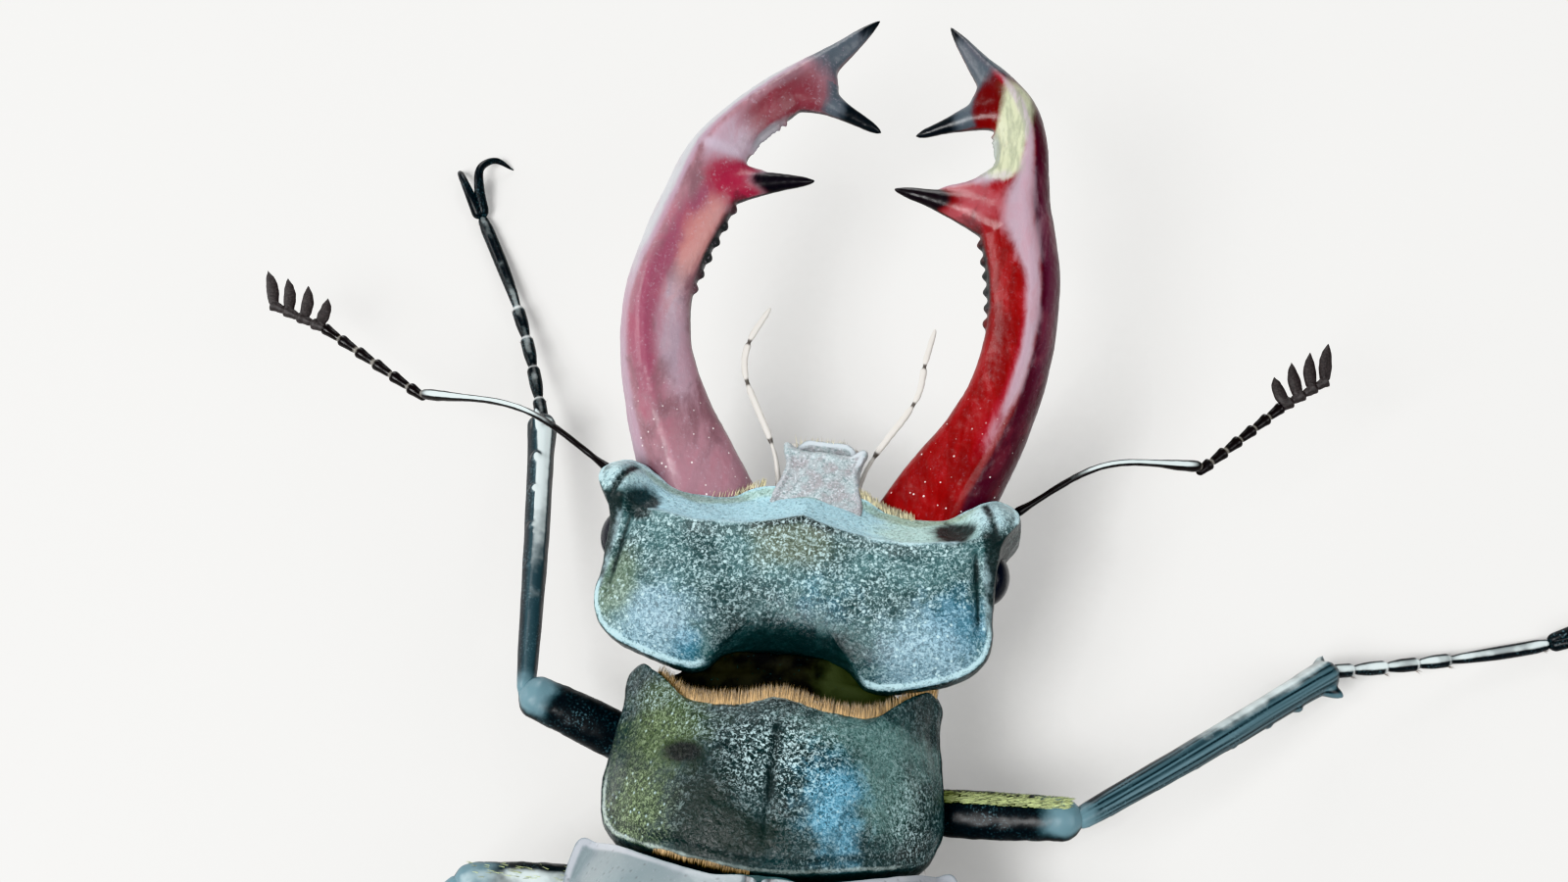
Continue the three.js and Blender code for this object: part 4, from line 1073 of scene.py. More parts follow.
def jaw_finish(name, settings, sign):
    """Glossy horn: red on the face, pale with painted sheen and highlights along the ridges, painted shade on
    the inner and lower sides, and black at the teeth and the tips.
    """
    finish = Finish(name)
    size = settings.grain / MM
    flow = finish.grain(1.6, detail=4, roughness=0.6, stretch=(1.5, 0.6, 1.5), distortion=0.4)
    fine = finish.grain(size, detail=3, roughness=0.65)
    streaks = finish.grain(0.5, detail=3, roughness=0.6, stretch=(1.6, 0.35, 1.6))
    right = sign > 0
    face = settings.red if right else settings.rose
    colour = finish.mix(finish.between(flow, 0.3, 0.7), [0.6 * value for value in face], face)
    if right:
        tints = [
            ("flush", (0.26, 0.02, 0.035), 0.5),
            ("outer", settings.maroon, 0.97),
            ("glow", (0.1, 0.03, 0.05), 0.7),
            ("arm", (0.07, 0.003, 0.003), 0.9),
            ("bay", settings.straw, 0.92),
            ("ridge", (0.33, 0.28, 0.33), 0.75),
            ("tooth", (0.27, 0.06, 0.07), 0.9),
        ]
    else:
        tints = [
            ("mauve", (0.27, 0.15, 0.18), 0.7),
            ("sheen", settings.lilac, 0.5),
            ("crimson", settings.crimson, 0.85),
            ("ember", settings.ember, 0.75),
            ("bay", settings.lilac, 0.6),
            ("arm", (0.12, 0.02, 0.026), 0.85),
            ("outer", (0.29, 0.21, 0.26), 0.85),
            ("frost", settings.frost, 0.85),
            ("tooth", (0.22, 0.015, 0.035), 0.9),
        ]
    tints += [
        ("bar", settings.lilac, 0.7),
        ("slate", settings.slate, 0.9),
        ("inner", settings.black, 0.85),
        ("lower", settings.black, 0.7),
        ("tips", settings.black, 0.98),
        ("teeth", (0.02, 0.022, 0.022), 1.0),
        ("beads", (0.2, 0.23, 0.25), 0.7),
    ]
    colour = tinted(finish, colour, tints, flow)
    if right:
        mottle = finish.math("MULTIPLY", finish.between(streaks, 0.4, 0.62, 0, 0.7), finish.mask("bay"))
        colour = finish.mix(mottle, colour, (0.22, 0.24, 0.17))
    streaked = finish.between(streaks, 0.42, 0.62, 0.1, 1)
    sheen = finish.math("MULTIPLY", finish.between(fine, 0.52, 0.72), streaked)
    away = finish.between(finish.mask("tips"), 0.1, 0.5, 0.1 if right else 0.35, 0.03)
    colour = finish.mix(finish.math("MULTIPLY", sheen, away), colour, settings.lilac)
    # painted glints: white specks near the base of the jaw
    dots = finish.between(finish.cells(0.5), 0.06, 0.12, 0.8, 0)
    dots = finish.math("MULTIPLY", dots, finish.between(finish.mask("dots"), 0, 0.8))
    colour = finish.mix(dots, colour, (0.85, 0.82, 0.8))
    finish.bump(fine, 0.02, 0.5)
    finish.bump(streaks, 0.05, 0.4)
    finish.set(specular_ior_level=0.22, coat_weight=0.16, coat_roughness=0.26)
    return finish.done(colour, finish.between(streaks, 0.3, 0.7, 0.3, 0.42))


class BEETLE_OT_jaws(bpy.types.Operator):
    """Make the two jaws"""

    bl_idname = "beetle.jaws"
    bl_label = "Jaws"

    def execute(self, context):
        settings = context.scene.beetle_jaw
        for side, sign in SIDES.items():
            material = jaw_finish(f"horn_jaw_{side}", settings, sign)
            make_piece(f"jaw_{side}", jaw_shape(sign), HEAD, material, "jaw", f"mandible_{side}")
        return {"FINISHED"}


# ---- thorax, wing cases and underside -------------------------------------------------------------

PRONOTUM_OUTLINE = symmetric([
    (0, 7.1), (2.2, 6.6), (4.4, 6.8), (6.1, 8.1), (7.35, 9.4), (7.95, 9.1), (8, 7.6), (8.35, 5.4), (8.6, 3.2),
    (8.45, 1.8), (7.9, 0.6), (6.7, -0.3), (3.3, -1.5), (0, -1.9),
])
PROSTERNUM_OUTLINE = symmetric([(0, 6.6), (4.4, 6.2), (7, 7), (7.9, 3.4), (7.4, 0.8), (4, -0.6), (0, -1)])
SCUTELLUM_OUTLINE = symmetric([(0, -2.2), (2, -2.4), (2.2, -3.6), (1.3, -5.6), (0, -6.6)])
METASTERNUM_OUTLINE = symmetric([
    (0, -1.8), (4.6, -1.4), (7.6, -1.2), (8.8, -3.6), (9.1, -8), (9, -12.5), (8.5, -15.5), (4.4, -15.8),
    (0, -15.9),
])
ELYTRON_OUTLINE = [
    (0.13, -2.8), (2.6, -2.6), (5.6, -1.5), (8.1, -0.1), (9.3, 0.3), (9.8, -0.9), (10, -4), (10.1, -8),
    (10.1, -13), (9.95, -18), (9.5, -22.5), (8.7, -26.7), (7.3, -30.2), (5.4, -32.8), (3, -34.3), (1, -34.6),
    (0.13, -34.1), (0.13, -30), (0.13, -25), (0.13, -20), (0.13, -15), (0.13, -10), (0.13, -6),
]
NECK_LINE = [(0, 4.4, 9.1), (0, 7.4, 9.3), (0, 10.4, 9.5)]
NECK_PROFILE = [(0, 7.3, 2.7), (0.5, 7.3, 2.7), (1, 4.6, 2.4)]
SUTURE = 0.13  # half the gap between the wing cases
VENTRITE_EDGES = [  # the front of each plate of the abdomen, and half its width there
    (-16.6, 8.6), (-20, 8.5), (-23.2, 8.1), (-26.4, 7.3), (-29.6, 5.8), (-33, 3),
]
BELLY_TOP = 8.78
PLATE_FOOT = 9.0  # the level where the shield and the wing cases end


def shield_top(x, y, rim, edge):
    """The thorax shield: arched, with a rolled rim, a fine middle groove and uneven swellings."""
    side = np.abs(x)
    along = np.minimum(np.abs(y - 2.5), 4.6)
    height = 9.6 + 5.6 * (1 - (side / 8.6) ** 2.7) - 0.035 * along**2 * (1 - (x / 12) ** 2) - 0.45 * rim**9
    groove = 0.14 * band(x, 0, 0.16) * step(5.6 - y, 0, 1.2) * step(y, -1.2, 0.2)
    swelling = 0.22 * hill(side, y, 2.8, 2.8, 2.0) - 0.18 * hill(side, y, 5.2, 4.8, 1.3)
    roll = 0.05 * band(edge, 0.14, 0.11) - 0.05 * band(edge, 0.42, 0.18)
    front = step(y, 4.8, 6.2) * step(7.2 - side, 0, 1.5)
    return height - groove + swelling + roll * (1 - front) - 0.05 * band(edge, 0.5, 0.2) * front


def shield_piece(settings):
    """The thorax shield with its patches of colour."""
    shape = plate(PRONOTUM_OUTLINE, (0, 1.4), shield_top, level(PLATE_FOOT), around=420, inner=64)
    x, y = shape.points[:, :2].T
    upper, edge = shape.values["upper"], shape.values["edge"]
    top = step(upper, 0.3, 0.9)
    chalk = hill(x / 2.5, y / 2.2, 0.05, 1.75, 1.0)
    slant = x + 0.25 * y
    blue = np.maximum(hill(x, y, 3.5, 2.6, 1.15), 0.8 * hill(slant / 1.15, y / 2.2, 3.0, 0.6, 1.3))
    plum = hill((x + 0.5 * y) / 1.5, y, -1.75, 3.8, 0.7)
    deep = hill(x / 1.7, (y - 2.2) / 2.6, -1.9, -0.5, 1.0) + hill(x / 2.2, y, -0.5, -0.4, 1.1)
    left_side = step(-x, 5.4, 7.4) * step(4.8 - y, 0, 2.5)
    right_side = hill(x, y / 2.2, 7.0, 1.0, 1.0)
    rear_left = hill(x / 1.6, y / 1.2, -3.0, 0.7, 1.0)
    moss = np.maximum(hill(x / 2.1, y / 3.0, -2.6, 1.9, 1.0), 0.8 * hill(x / 1.6, y / 2.4, -4.1, 0.5, 1.0))
    groove = band(x, 0, 0.32) * step(6.2 - y, 0, 1.2) * step(y, 0.6, 2.4)
    dust_and_glint_amount = 0.2 + chalk + 0.25 * (blue + left_side) + 0.3 * rear_left + 0.75 * right_side + 0.45 * moss
    bare = 0.9 * groove + 0.35 * np.clip(deep, 0, 1) + plum
    shape.set(
        moss=top * moss,
        plum=top * step(plum, 0.05, 0.9),
        blue=top * blue,
        teal=top * np.maximum(hill(x / 1.9, y / 2.6, 2.9, 1.2, 1.0), 0.85 * hill(x / 3, y, 1.7, 5.6, 1.5)),
        deep=top * np.clip(deep, 0, 1),
        # groove: painted shade in the middle groove
        groove=top * groove,
        green=top * step(-x, 3.2, 6.0) * step(7.2 - y, 0, 1.5),
        # dark: painted shade at the front middle under the head, inside the rolled rim at the rear and sides,
        # and on the side walls
        dark=np.maximum.reduce([
            top * 0.9 * hill(x / 2, y, 0, 7.2, 0.7), top * 0.6 * band(edge, 0.55, 0.22) * step(4 - y, 0, 2),
            0.8 * step(0.7 - upper, 0, 0.2),
        ]),
        # painted highlight along the margins at the left side, the rear and the front middle
        worn=top * band(edge, 0.08, 0.09) * np.maximum.reduce([
            0.9 * step(-x, 5.5, 7.0) * step(5.0 - y, 0, 3.0),
            0.6 * step(-y, -0.2, 0.6),
            0.5 * band(x, -0.3, 1.6) * (y > 4),
        ]),
        dust=top * np.clip(dust_and_glint_amount - bare, 0.04, 1),
    )
    shape = roughened(shape, (1.5, 0.08), (0.5, 0.035))
    tints = [
        ("teal", (0.09, 0.17, 0.16), 0.85),
        ("moss", (0.045, 0.07, 0.022), 0.8),
        ("blue", (0.075, 0.22, 0.31), 0.95),
        ("deep", (0.003, 0.008, 0.005), 0.9),
        ("plum", (0.002, 0.002, 0.002), 0.97),
        ("dark", settings.dark, 0.9),
        ("groove", settings.dark, 0.92),
        ("worn", (0.42, 0.5, 0.48), 0.7),
    ]
    speck_tints = [("green", (0.26, 0.34, 0.17), 0.9), ("blue", (0.34, 0.55, 0.66), 0.8)]
    material = shell_finish("horn_shield", settings, tints, gloss=0.38, depth=0.25, speck_tints=speck_tints)
    make_piece("thorax_shield", shape, BODY, material, "shell", "pronotum")


def neck_piece(settings):
    """The wrinkled skin between the head and the thorax shield, coloured near black as painted shade for the
    gap between them.
    """
    neck = sweep(NECK_LINE, NECK_PROFILE, oval(120), rings=60, blunt=(0.03, 0.03))
    neck.points[:, 1] += 0.12 * np.sin(neck.points[:, 1] * 5.2)
    neck.set(olive=step(neck.points[:, 0], 0.5, 3.5) * step(neck.points[:, 2], 10, 11))
    neck = roughened(neck, (0.7, 0.12))
    finish = Finish("skin_neck")
    clouds = finish.grain(1.1, detail=4)
    fine = finish.grain(0.2, detail=2)
    # painted shade: near black, with an olive tint at the right
    colour = finish.mix(finish.between(clouds, 0.35, 0.65), (0.002, 0.002, 0.002), (0.01, 0.01, 0.007))
    colour = tinted(finish, colour, [("olive", (0.045, 0.055, 0.03), 0.9)], clouds)
    colour = finish.mix(finish.between(fine, 0.66, 0.78, 0, 0.2), colour, settings.body)
    finish.bump(clouds, 0.1, 0.8)
    finish.set(specular_ior_level=0.12)
    material = finish.done(colour, 0.6)
    make_piece("neck_skin", neck, BODY, material, "shell", "neck")


def chest_bottom(x, y, rim, edge):
    """The chest, before the middle hips."""
    return 4.6 + 2.6 * rim**3


def breast_bottom(x, y, rim, edge):
    """The breast, with a fine keel along its middle."""
    return 4 + 2.8 * rim**3 + 0.25 * band(x, 0, 0.25) * step(-y, 4, 6)


def underside_pieces(settings):
    """The chest, the breast, and the abdomen with its five overlapping plates."""
    material = shell_finish("horn_chest", settings, [], pit=0.3)
    top = level(BELLY_TOP)
    chest = plate(PROSTERNUM_OUTLINE, (0, 2.6), top, chest_bottom, around=200, inner=26, wall=6)
    make_piece("chest_plate", roughened(chest, (0.8, 0.08)), BODY, material, "shell", "prosternum")
    breast = plate(METASTERNUM_OUTLINE, (0, -9), top, breast_bottom, around=240, inner=40, wall=6)
    make_piece("breast_plate", roughened(breast, (0.9, 0.08)), BODY, material, "shell", "metasternum")
    rings = []
    for index, ((front, wide), (rear, narrow)) in enumerate(zip(VENTRITE_EDGES, VENTRITE_EDGES[1:])):
        outline = symmetric([(0, front + 0.35), (wide, front), (narrow * 1.02, rear), (0, rear - 0.4)])
        outline = [(x * 0.995, y) for x, y in outline]

        def bottom(x, y, rim, edge, front=front, index=index):
            """One plate of the abdomen, with a bead along its margin."""
            return 4 + 0.3 * index + 0.04 * (front - y) + 2.4 * rim**3 + 0.1 * band(edge, 0.6, 0.2)

        rings.append(plate(outline, (0, (front + rear) / 2), top, bottom, around=180, inner=22))
    make_piece("belly", roughened(joined(rings), (0.8, 0.06)), BODY, material, "shell", "abdomen")


class BEETLE_OT_thorax(bpy.types.Operator):
    """Make the thorax shield, the neck, the scutellum and the plates of the underside"""

    bl_idname = "beetle.thorax"
    bl_label = "Thorax and underside"

    def execute(self, context):
        settings = context.scene.beetle_shell
        shield_piece(settings)
        neck_piece(settings)
        underside_pieces(settings)

        def domed(x, y, rim, edge):
            """The small shield between the wing cases."""
            return 15.3 - 0.08 * x**2 - 0.05 * (y + 6) ** 2

        foot = level(PLATE_FOOT)
        scutellum = plate(SCUTELLUM_OUTLINE, (0, -3.9), domed, foot, around=180, inner=24, wall=6)
        material = shell_finish("horn_scutellum", settings, [])
        make_piece("small_shield", roughened(scutellum, (0.6, 0.05)), BODY, material, "shell", "scutellum")
        return {"FINISHED"}


def wing_top(x, y, rim, edge):
    """A wing case: arched over the back, with a shoulder bump, faint ribs and a rolled side."""
    side = np.abs(x)
    fall = 1 - 0.9 * (np.maximum(0, (-18 - y) / 17)) ** 2.6
    arch = 7.6 * (1 - (side / 10.1) ** 2.7) * fall
    shoulder = 0.5 * hill(side, y, 8.2, -3, 2.2)
    height = 9.3 + arch + shoulder - 0.045 * np.maximum(0, y + 7) ** 2 - 0.3 * rim**8
    ribs = 0.035 * np.cos(side * 2.6) * step(-y, 3, 6) * step(side, 1, 2) * step(edge, 0.6, 1.6)
    seam = -0.1 * band(side, 0.55, 0.12) + 0.06 * band(side, 0.25, 0.15)
    roll = (0.16 * band(edge, 0.3, 0.22) - 0.14 * band(edge, 0.85, 0.3)) * step(side, 1.5, 3) * step(-y, 3, 5)
    return np.maximum(height + ribs + seam + roll, 9.5)


def wing_shape(sign):
    """One wing case."""
    outline = [(sign * x, y) for x, y in ELYTRON_OUTLINE]

    def clear_of_suture(points):
        """Nothing of a wing case crosses the middle."""
        points = points.copy()
        points[:, 0] = sign * np.maximum(sign * points[:, 0], SUTURE)
        return points

    shape = plate(
        outline, (sign * 4.6, -15), wing_top, level(PLATE_FOOT),
        around=460, inner=70, wall=6, bulge=0.0, limit=clear_of_suture,
    )
    x, y = shape.points[:, :2].T
    upper, edge = shape.values["upper"], shape.values["edge"]
    shape.set(
        # painted sheen, lilac at the shoulders and fading towards the rear
        bloom=upper * step(y, -24, -2) ** 1.5,
        # painted shade in the seam between the wing cases and inside the rolled sides
        dark=upper * np.maximum(band(np.abs(x), 0.55, 0.14), band(edge, 0.85, 0.3) * step(-y, 5, 16)),
        warm=upper * step(edge, 0.5, 4.5),
        # painted highlight along the front edge
        worn=upper * band(edge, 0.2, 0.2) * step(y, -3.5, -1),
    )
    return roughened(shape, (2.2, 0.06), (0.6, 0.02))


class BEETLE_OT_wings(bpy.types.Operator):
    """Make the two wing cases"""

    bl_idname = "beetle.wings"
    bl_label = "Wing cases"

    def execute(self, context):
        settings = context.scene.beetle_wing
        finish = Finish("horn_wing")
        clouds = finish.grain(3.0, detail=4)
        fine = finish.grain(0.14, detail=3, roughness=0.6)
        pits = finish.cells(0.42)
        colour = finish.mix(finish.between(clouds, 0.3, 0.7), settings.dark, settings.body)
        tints = [
            ("warm", settings.body, 0.5),
            ("bloom", settings.sheen, 0.85),
            ("dark", settings.dark, 0.8),
            ("worn", (0.5, 0.5, 0.55), 0.5),
        ]
        colour = tinted(finish, colour, tints, clouds)
        colour = finish.mix(finish.between(fine, 0.58, 0.75, 0, 0.22), colour, (0.4, 0.38, 0.45))
        # painted shade in the pits
        colour = finish.mix(finish.between(pits, 0.0, 0.3, 0.4, 0), colour, settings.dark)
        finish.bump(finish.between(pits, 0.0, 0.4), 0.03, 0.6)
        finish.bump(fine, 0.01, 0.5)
        finish.set(specular_ior_level=0.45, coat_weight=0.4, coat_roughness=0.16)
        material = finish.done(colour, finish.between(clouds, 0.3, 0.7, 0.34, 0.46))
        for side, sign in SIDES.items():
            make_piece(f"wing_case_{side}", wing_shape(sign), BODY, material, "wing_case", f"elytron_{side}")
        return {"FINISHED"}


# ---- eyes, feelers and palps ----------------------------------------------------------------------

EYE_PLACE = (9.5, EYE_ALONG, 0)
EYE_RADII = (1.2, 1.45, 1.3)
FEELER_ROOT = {"left": (-10.8, 11.1, -0.9), "right": (10.5, 11.3, -0.9)}
CLUB = {
    "left": [(-28.9, 18.8, -5.4), (-32.3, 19.9, -5.4)],
    "right": [(23.9, 20.2, -5.3), (26.3, 22.1, -5.3)],
}
SCAPE_PROFILE = [(0, 0.3, 0.3), (0.1, 0.17, 0.17), (0.7, 0.19, 0.19), (0.94, 0.32, 0.32), (1, 0.25, 0.25)]
SCAPE_BEND = np.array([0, 1.1, 1.1])
FUNICLE_BEADS = 6
CLUB_LEAVES = (1.7, 2.0, 2.1, 2.2)
LEAF_PROFILE = [(0, 0.26, 0.24), (0.4, 0.36, 0.2), (0.75, 0.26, 0.16), (1, 0.08, 0.08)]
MAXILLARY_PALPS = {
    "left": [
        (-1.9, 10.9, -1.9), (-2.4, 13.2, -1.3), (-4.6, 17.5, -0.8), (-4.6, 19, -0.6), (-3.7, 21.1, -0.5),
    ],
    "right": [
        (1.9, 10.9, -1.9), (2.6, 13.2, -1.3), (4.7, 17.1, -0.8), (4.9, 19, -0.6), (5.2, 20.9, -0.5),
    ],
}
MAXILLARY_PROFILE = [
    (0, 0.2, 0.2), (0.27, 0.1, 0.1), (0.31, 0.16, 0.16), (0.55, 0.18, 0.18), (0.6, 0.1, 0.1),
    (0.64, 0.16, 0.16), (0.78, 0.18, 0.18), (0.8, 0.1, 0.1), (0.84, 0.17, 0.17), (1, 0.14, 0.14),
]
MAXILLARY_JOINTS = (0, 0.29, 0.6, 0.8, 1)
LABIAL_PALP = [(0.9, 11.4, -3.7), (1.2, 13.1, -3.6), (1.7, 14.6, -3.3)]
LABIAL_PROFILE = [(0, 0.4, 0.4), (0.5, 0.24, 0.24), (0.6, 0.3, 0.3), (1, 0.25, 0.25)]


def ball(centre, radii, sign, rings=80, sides=120):
    """An ellipsoid on one side of the head."""
    angles = np.linspace(0, np.pi, rings)[1:-1, None, None]
    across, up = (np.sin(angles) * oval(sides)).reshape(-1, 2).T
    along = np.repeat(-np.cos(angles), sides)
    unit_ball = np.vstack([(0, -1, 0), np.column_stack([across, along, up]), (0, 1, 0)])
    middle = np.array([sign * centre[0], centre[1], centre[2]])
    return Shape(unit_ball * radii + middle, ring_faces(rings - 2, sides))


def jointed_profile(parts, radius, start=0.75, end=1.12):
    """A profile of beads: each part narrow at its start and wide before its end."""
    bead = ((0.0, start * 0.8), (0.12, start), (0.55, 0.95), (0.85, end), (0.97, end * 0.8))
    rows = []
    for first, last in zip(parts, parts[1:]):
        for share, factor in bead:
            rows.append((first + (last - first) * share, radius * factor, radius * factor))
    rows.append((parts[-1], radius * 0.8, radius * 0.8))
    return rows


def joint_mask(share, parts, width):
    """1 at each joint between the parts and 0 elsewhere."""
    return np.maximum.reduce([band(share, part, width) for part in parts[1:-1]])


def feeler_pieces(side, sign, horn, pale):
    """A feeler: the long scape, the beads of the funicle and the comb of the club."""
    local = np.array(head_place().inverted())
    inward = np.array(head_place())

    def to_head(point):
        """A point of the beetle's own frame in the head's."""
        return local[:3, :3] @ point + local[:3, 3]

    def to_body(point):
        """A point of the head's frame in the beetle's own."""
        return inward[:3, :3] @ np.array(point) + inward[:3, 3]

    root, elbow = (to_head(p) for p in ends(f"scape_{side}", to_body(FEELER_ROOT[side])))
    line = [root, root + (elbow - root) * 0.45 + SCAPE_BEND, elbow + (elbow - root) * 0.012]
    scape = sweep(line, SCAPE_PROFILE, oval(24), rings=90, blunt=(0.03, 0.03))
    share, upness = scape.values["share"], scape.values["upness"]
    lit = step(share, 0.25, 0.5) * step(1 - share, 0, 0.1)
    scape.set(joint=band(share, 1.0, 0.02), gleam=step(upness, 0.8, 1.0) * lit)
    scape = roughened(scape, (0.5, 0.02))
    make_piece(f"feeler_scape_{side}", scape, HEAD, horn, "feeler", f"scape_{side}")
    start, club = (to_head(p) for p in ends(f"funicle_{side}", to_body(elbow)))
    start, club = start - (club - start) * 0.07, club + (club - start) * 0.03
    parts = np.linspace(0, 1, FUNICLE_BEADS + 1)
    profile = jointed_profile(parts, 0.3)
    beads = sweep([start, (start + club) / 2, club], profile, oval(24), rings=200, blunt=(0.03, 0.03))
    beads.set(joint=0.7 * joint_mask(beads.values["share"], parts, 0.016))
    make_piece(f"feeler_beads_{side}", beads, HEAD, horn, "feeler", f"funicle_{side}")
    foot, tip = (np.array(point) for point in CLUB[side])
    forward = unit(tip - foot)
    comb = np.cross(UP, forward) * sign
    stem_parts = np.linspace(0, 1, 5)
    stem = [foot, (foot + tip) / 2, tip]
    leaves = [sweep(stem, jointed_profile(stem_parts, 0.3), oval(18), rings=110, blunt=(0.04, 0.04))]
    for index, length in enumerate(CLUB_LEAVES):
        base = foot + (tip - foot) * (0.12 + 0.27 * index)
        direction = unit(comb + forward * (0.2 + 0.2 * index))
        middle = base + direction * length * 0.55 - forward * 0.08
        rib = [base, middle, base + direction * length]
        leaves.append(sweep(rib, LEAF_PROFILE, oval(20), rings=40, blunt=(0.1, 0.3)))
    club_shape = roughened(joined(leaves), (0.3, 0.03))
    make_piece(f"feeler_club_{side}", club_shape, HEAD, pale, "feeler", f"club_{side}")


def palp_pieces(side, sign, material):
    """The long and the short palp of one side."""
    long_palp = sweep(MAXILLARY_PALPS[side], MAXILLARY_PROFILE, oval(20), rings=220, blunt=(0.02, 0.05))
    long_palp.set(joint=joint_mask(long_palp.values["share"], MAXILLARY_JOINTS, 0.015))
    line = [(sign * x, y, z) for x, y, z in LABIAL_PALP]
    short_palp = sweep(line, LABIAL_PROFILE, oval(20), rings=90, blunt=(0.03, 0.08))
    short_palp.set(joint=band(short_palp.values["share"], 0.5, 0.03))
    for word, node, shape in (("long", "maxillary", long_palp), ("short", "labial", short_palp)):
        shape = roughened(shape, (0.3, 0.02))
        make_piece(f"{word}_palp_{side}", shape, HEAD, material, "palp", f"{node}_palp_{side}")


def club_finish(settings):
    """The matt leaves of the club."""
    finish = Finish("horn_club")
    fine = finish.grain(0.1, detail=2)
    dark, light = ([share * value for value in settings.club] for share in (0.6, 1.5))
    finish.bump(fine, 0.02, 0.6)
    return finish.done(finish.mix(finish.between(fine, 0.4, 0.7), dark, light), 0.6)


def eye_finish(settings):
    """The facets of the eyes."""
    finish = Finish("glass_eye")
    facets = finish.cells(0.07)
    finish.bump(facets, 0.012, 0.7)
    finish.set(specular_ior_level=0.2, coat_weight=0.1, coat_roughness=0.06)
    colour = finish.mix(finish.between(facets, 0.1, 0.5, 0, 0.6), settings.eye, (0.012, 0.014, 0.02))
    return finish.done(colour, 0.2)


class BEETLE_OT_feelers(bpy.types.Operator):
    """Make the eyes, the feelers and the palps"""

    bl_idname = "beetle.feelers"
    bl_label = "Eyes, feelers and palps"

    def execute(self, context):
        settings = context.scene.beetle_feeler
        limb = limb_finish("horn_feeler", settings.body, (0.03, 0.034, 0.036), (0.2, 0.19, 0.17), 0.2)
        club = club_finish(settings)
        palp = limb_finish("horn_palp", settings.palp, (0.5, 0.48, 0.44), (0.03, 0.022, 0.018), 0.2)
        eye = eye_finish(settings)
        for side, sign in SIDES.items():
            feeler_pieces(side, sign, limb, club)
            shape = ball(EYE_PLACE, EYE_RADII, sign)
            make_piece(f"eye_ball_{side}", shape, HEAD, eye, "eye", f"eye_{side}")
            palp_pieces(side, sign, palp)
        return {"FINISHED"}


# ---- legs ---------------------------------------------------------------------------------------

COXA_LINES = {
    "fore_left": [(-1.2, 3, 5.3), (-4.8, 5.3, 5.7)], "fore_right": [(1.2, 3, 5.3), (5, 4.5, 5.9)],
    "mid_left": [(-1.5, -3.4, 4.9), (-5.2, -1.4, 5.7)], "mid_right": [(1.5, -3.6, 4.9), (5.2, -3, 5.7)],
    "hind_left": [(-1.4, -13.4, 4.7), (-5, -14.6, 5.3)], "hind_right": [(1.4, -13.4, 4.7), (5, -14.8, 5.3)],
}
COXA_PROFILE = [(0, 0.9, 0.8), (0.4, 1.6, 1.3), (0.85, 1.5, 1.2), (1, 0.9, 0.8)]
FEMUR_PROFILE = [
    (0, 0.9, 0.8), (0.15, 1.15, 1), (0.5, 1.25, 1.05), (0.85, 1.15, 1), (0.96, 1.05, 0.95), (1, 0.7, 0.65),
]
TIBIA_PROFILES = {
    "fore": [
        (0, 0.5, 0.42), (0.08, 0.62, 0.5), (0.45, 0.72, 0.64), (0.85, 0.78, 0.72), (0.95, 0.84, 0.8),
        (1, 0.6, 0.6),
    ],
    "mid": [(0, 0.5, 0.45), (0.08, 0.6, 0.55), (0.5, 0.72, 0.6), (0.88, 0.95, 0.7), (1, 0.65, 0.5)],
    "hind": [(0, 0.5, 0.45), (0.08, 0.6, 0.55), (0.5, 0.7, 0.6), (0.88, 0.9, 0.7), (1, 0.65, 0.5)],
}
TIBIA_ROLL = {"fore_left": 80}  # degrees
RIDGES = 6  # along a shin
SPINES = {  # on the outer side of a shin: share of its length, and reach
    "fore": [(0.42, 0.2), (0.56, 0.24), (0.7, 0.28), (0.82, 0.34), (0.95, 0.9)],
    "mid": [(0.5, 0.7), (0.72, 0.8), (0.95, 1)],
    "hind": [(0.6, 0.6), (0.95, 1)],
}
SPUR_SHARE = 0.95  # where along a shin the inner spur grows
INNER_SPUR = 1.3
SHORT_SPINE = 0.3  # spines up to this reach are slender at the foot
TARSUS_PARTS = (0, 0.15, 0.3, 0.44, 0.58, 1)
TARSUS_RADIUS = 0.4
CLAW_LINE = [(0.12, -0.1, 0.05), (0.4, 1.5, 0.7), (1, 2.8, 0.55), (1.6, 3.5, -0.55)]
ROLLED_CLAWS = {  # the left fore foot is rolled: one claw hooks sideways and the other points ahead
    -1: [(0.12, -0.1, 0.05), (0.35, 1.4, 0.6), (0.5, 2.7, 0.55), (0.55, 3.6, -0.35)],
    1: [(0.12, -0.1, 0.05), (0.3, 1.6, 0.65), (0.7, 2.85, 0.7), (1.7, 3.35, 0.25), (2.6, 2.75, -0.35)],
}
TOES = {"fore_left": (-21.2, 40.0, 0.4)}  # the rolled claws hide the end of this foot's last joint
TARSUS_BOWS = {"fore_left": 0.5}  # how far a foot bends towards the beetle's right
CLAW_PROFILE = [(0, 0.38, 0.38), (0.4, 0.28, 0.28), (0.8, 0.18, 0.18), (1, 0.1, 0.1)]
STALK_LINE = [(0, 0, 0.1), (0, 0.6, 0.12), (0, 1.3, 0.06)]
STALK_PROFILE = [(0, 0.12, 0.12), (1, 0.09, 0.09)]
SOLE = 0.02  # how high the lowest skin of a foot lies
LIMB_VOXEL = 0.1
GLEAMS = {  # which way the painted highlight streak of a shin faces, the cosine where it starts, its strength
    "fore_left": ((0.3, -0.2, 0.92), 0.66, 1.0),
    "fore_right": ((-0.35, 0.55, 0.75), 0.7, 0.6),
    "others": ((-0.2, -0.3, 0.93), 0.68, 0.6),
}
CAST_TOWARDS = (0.2, -0.3, 0.9)  # which way the painted blue sheen of the shins faces
OVERLAP = 0.35  # how far a segment runs into the next one


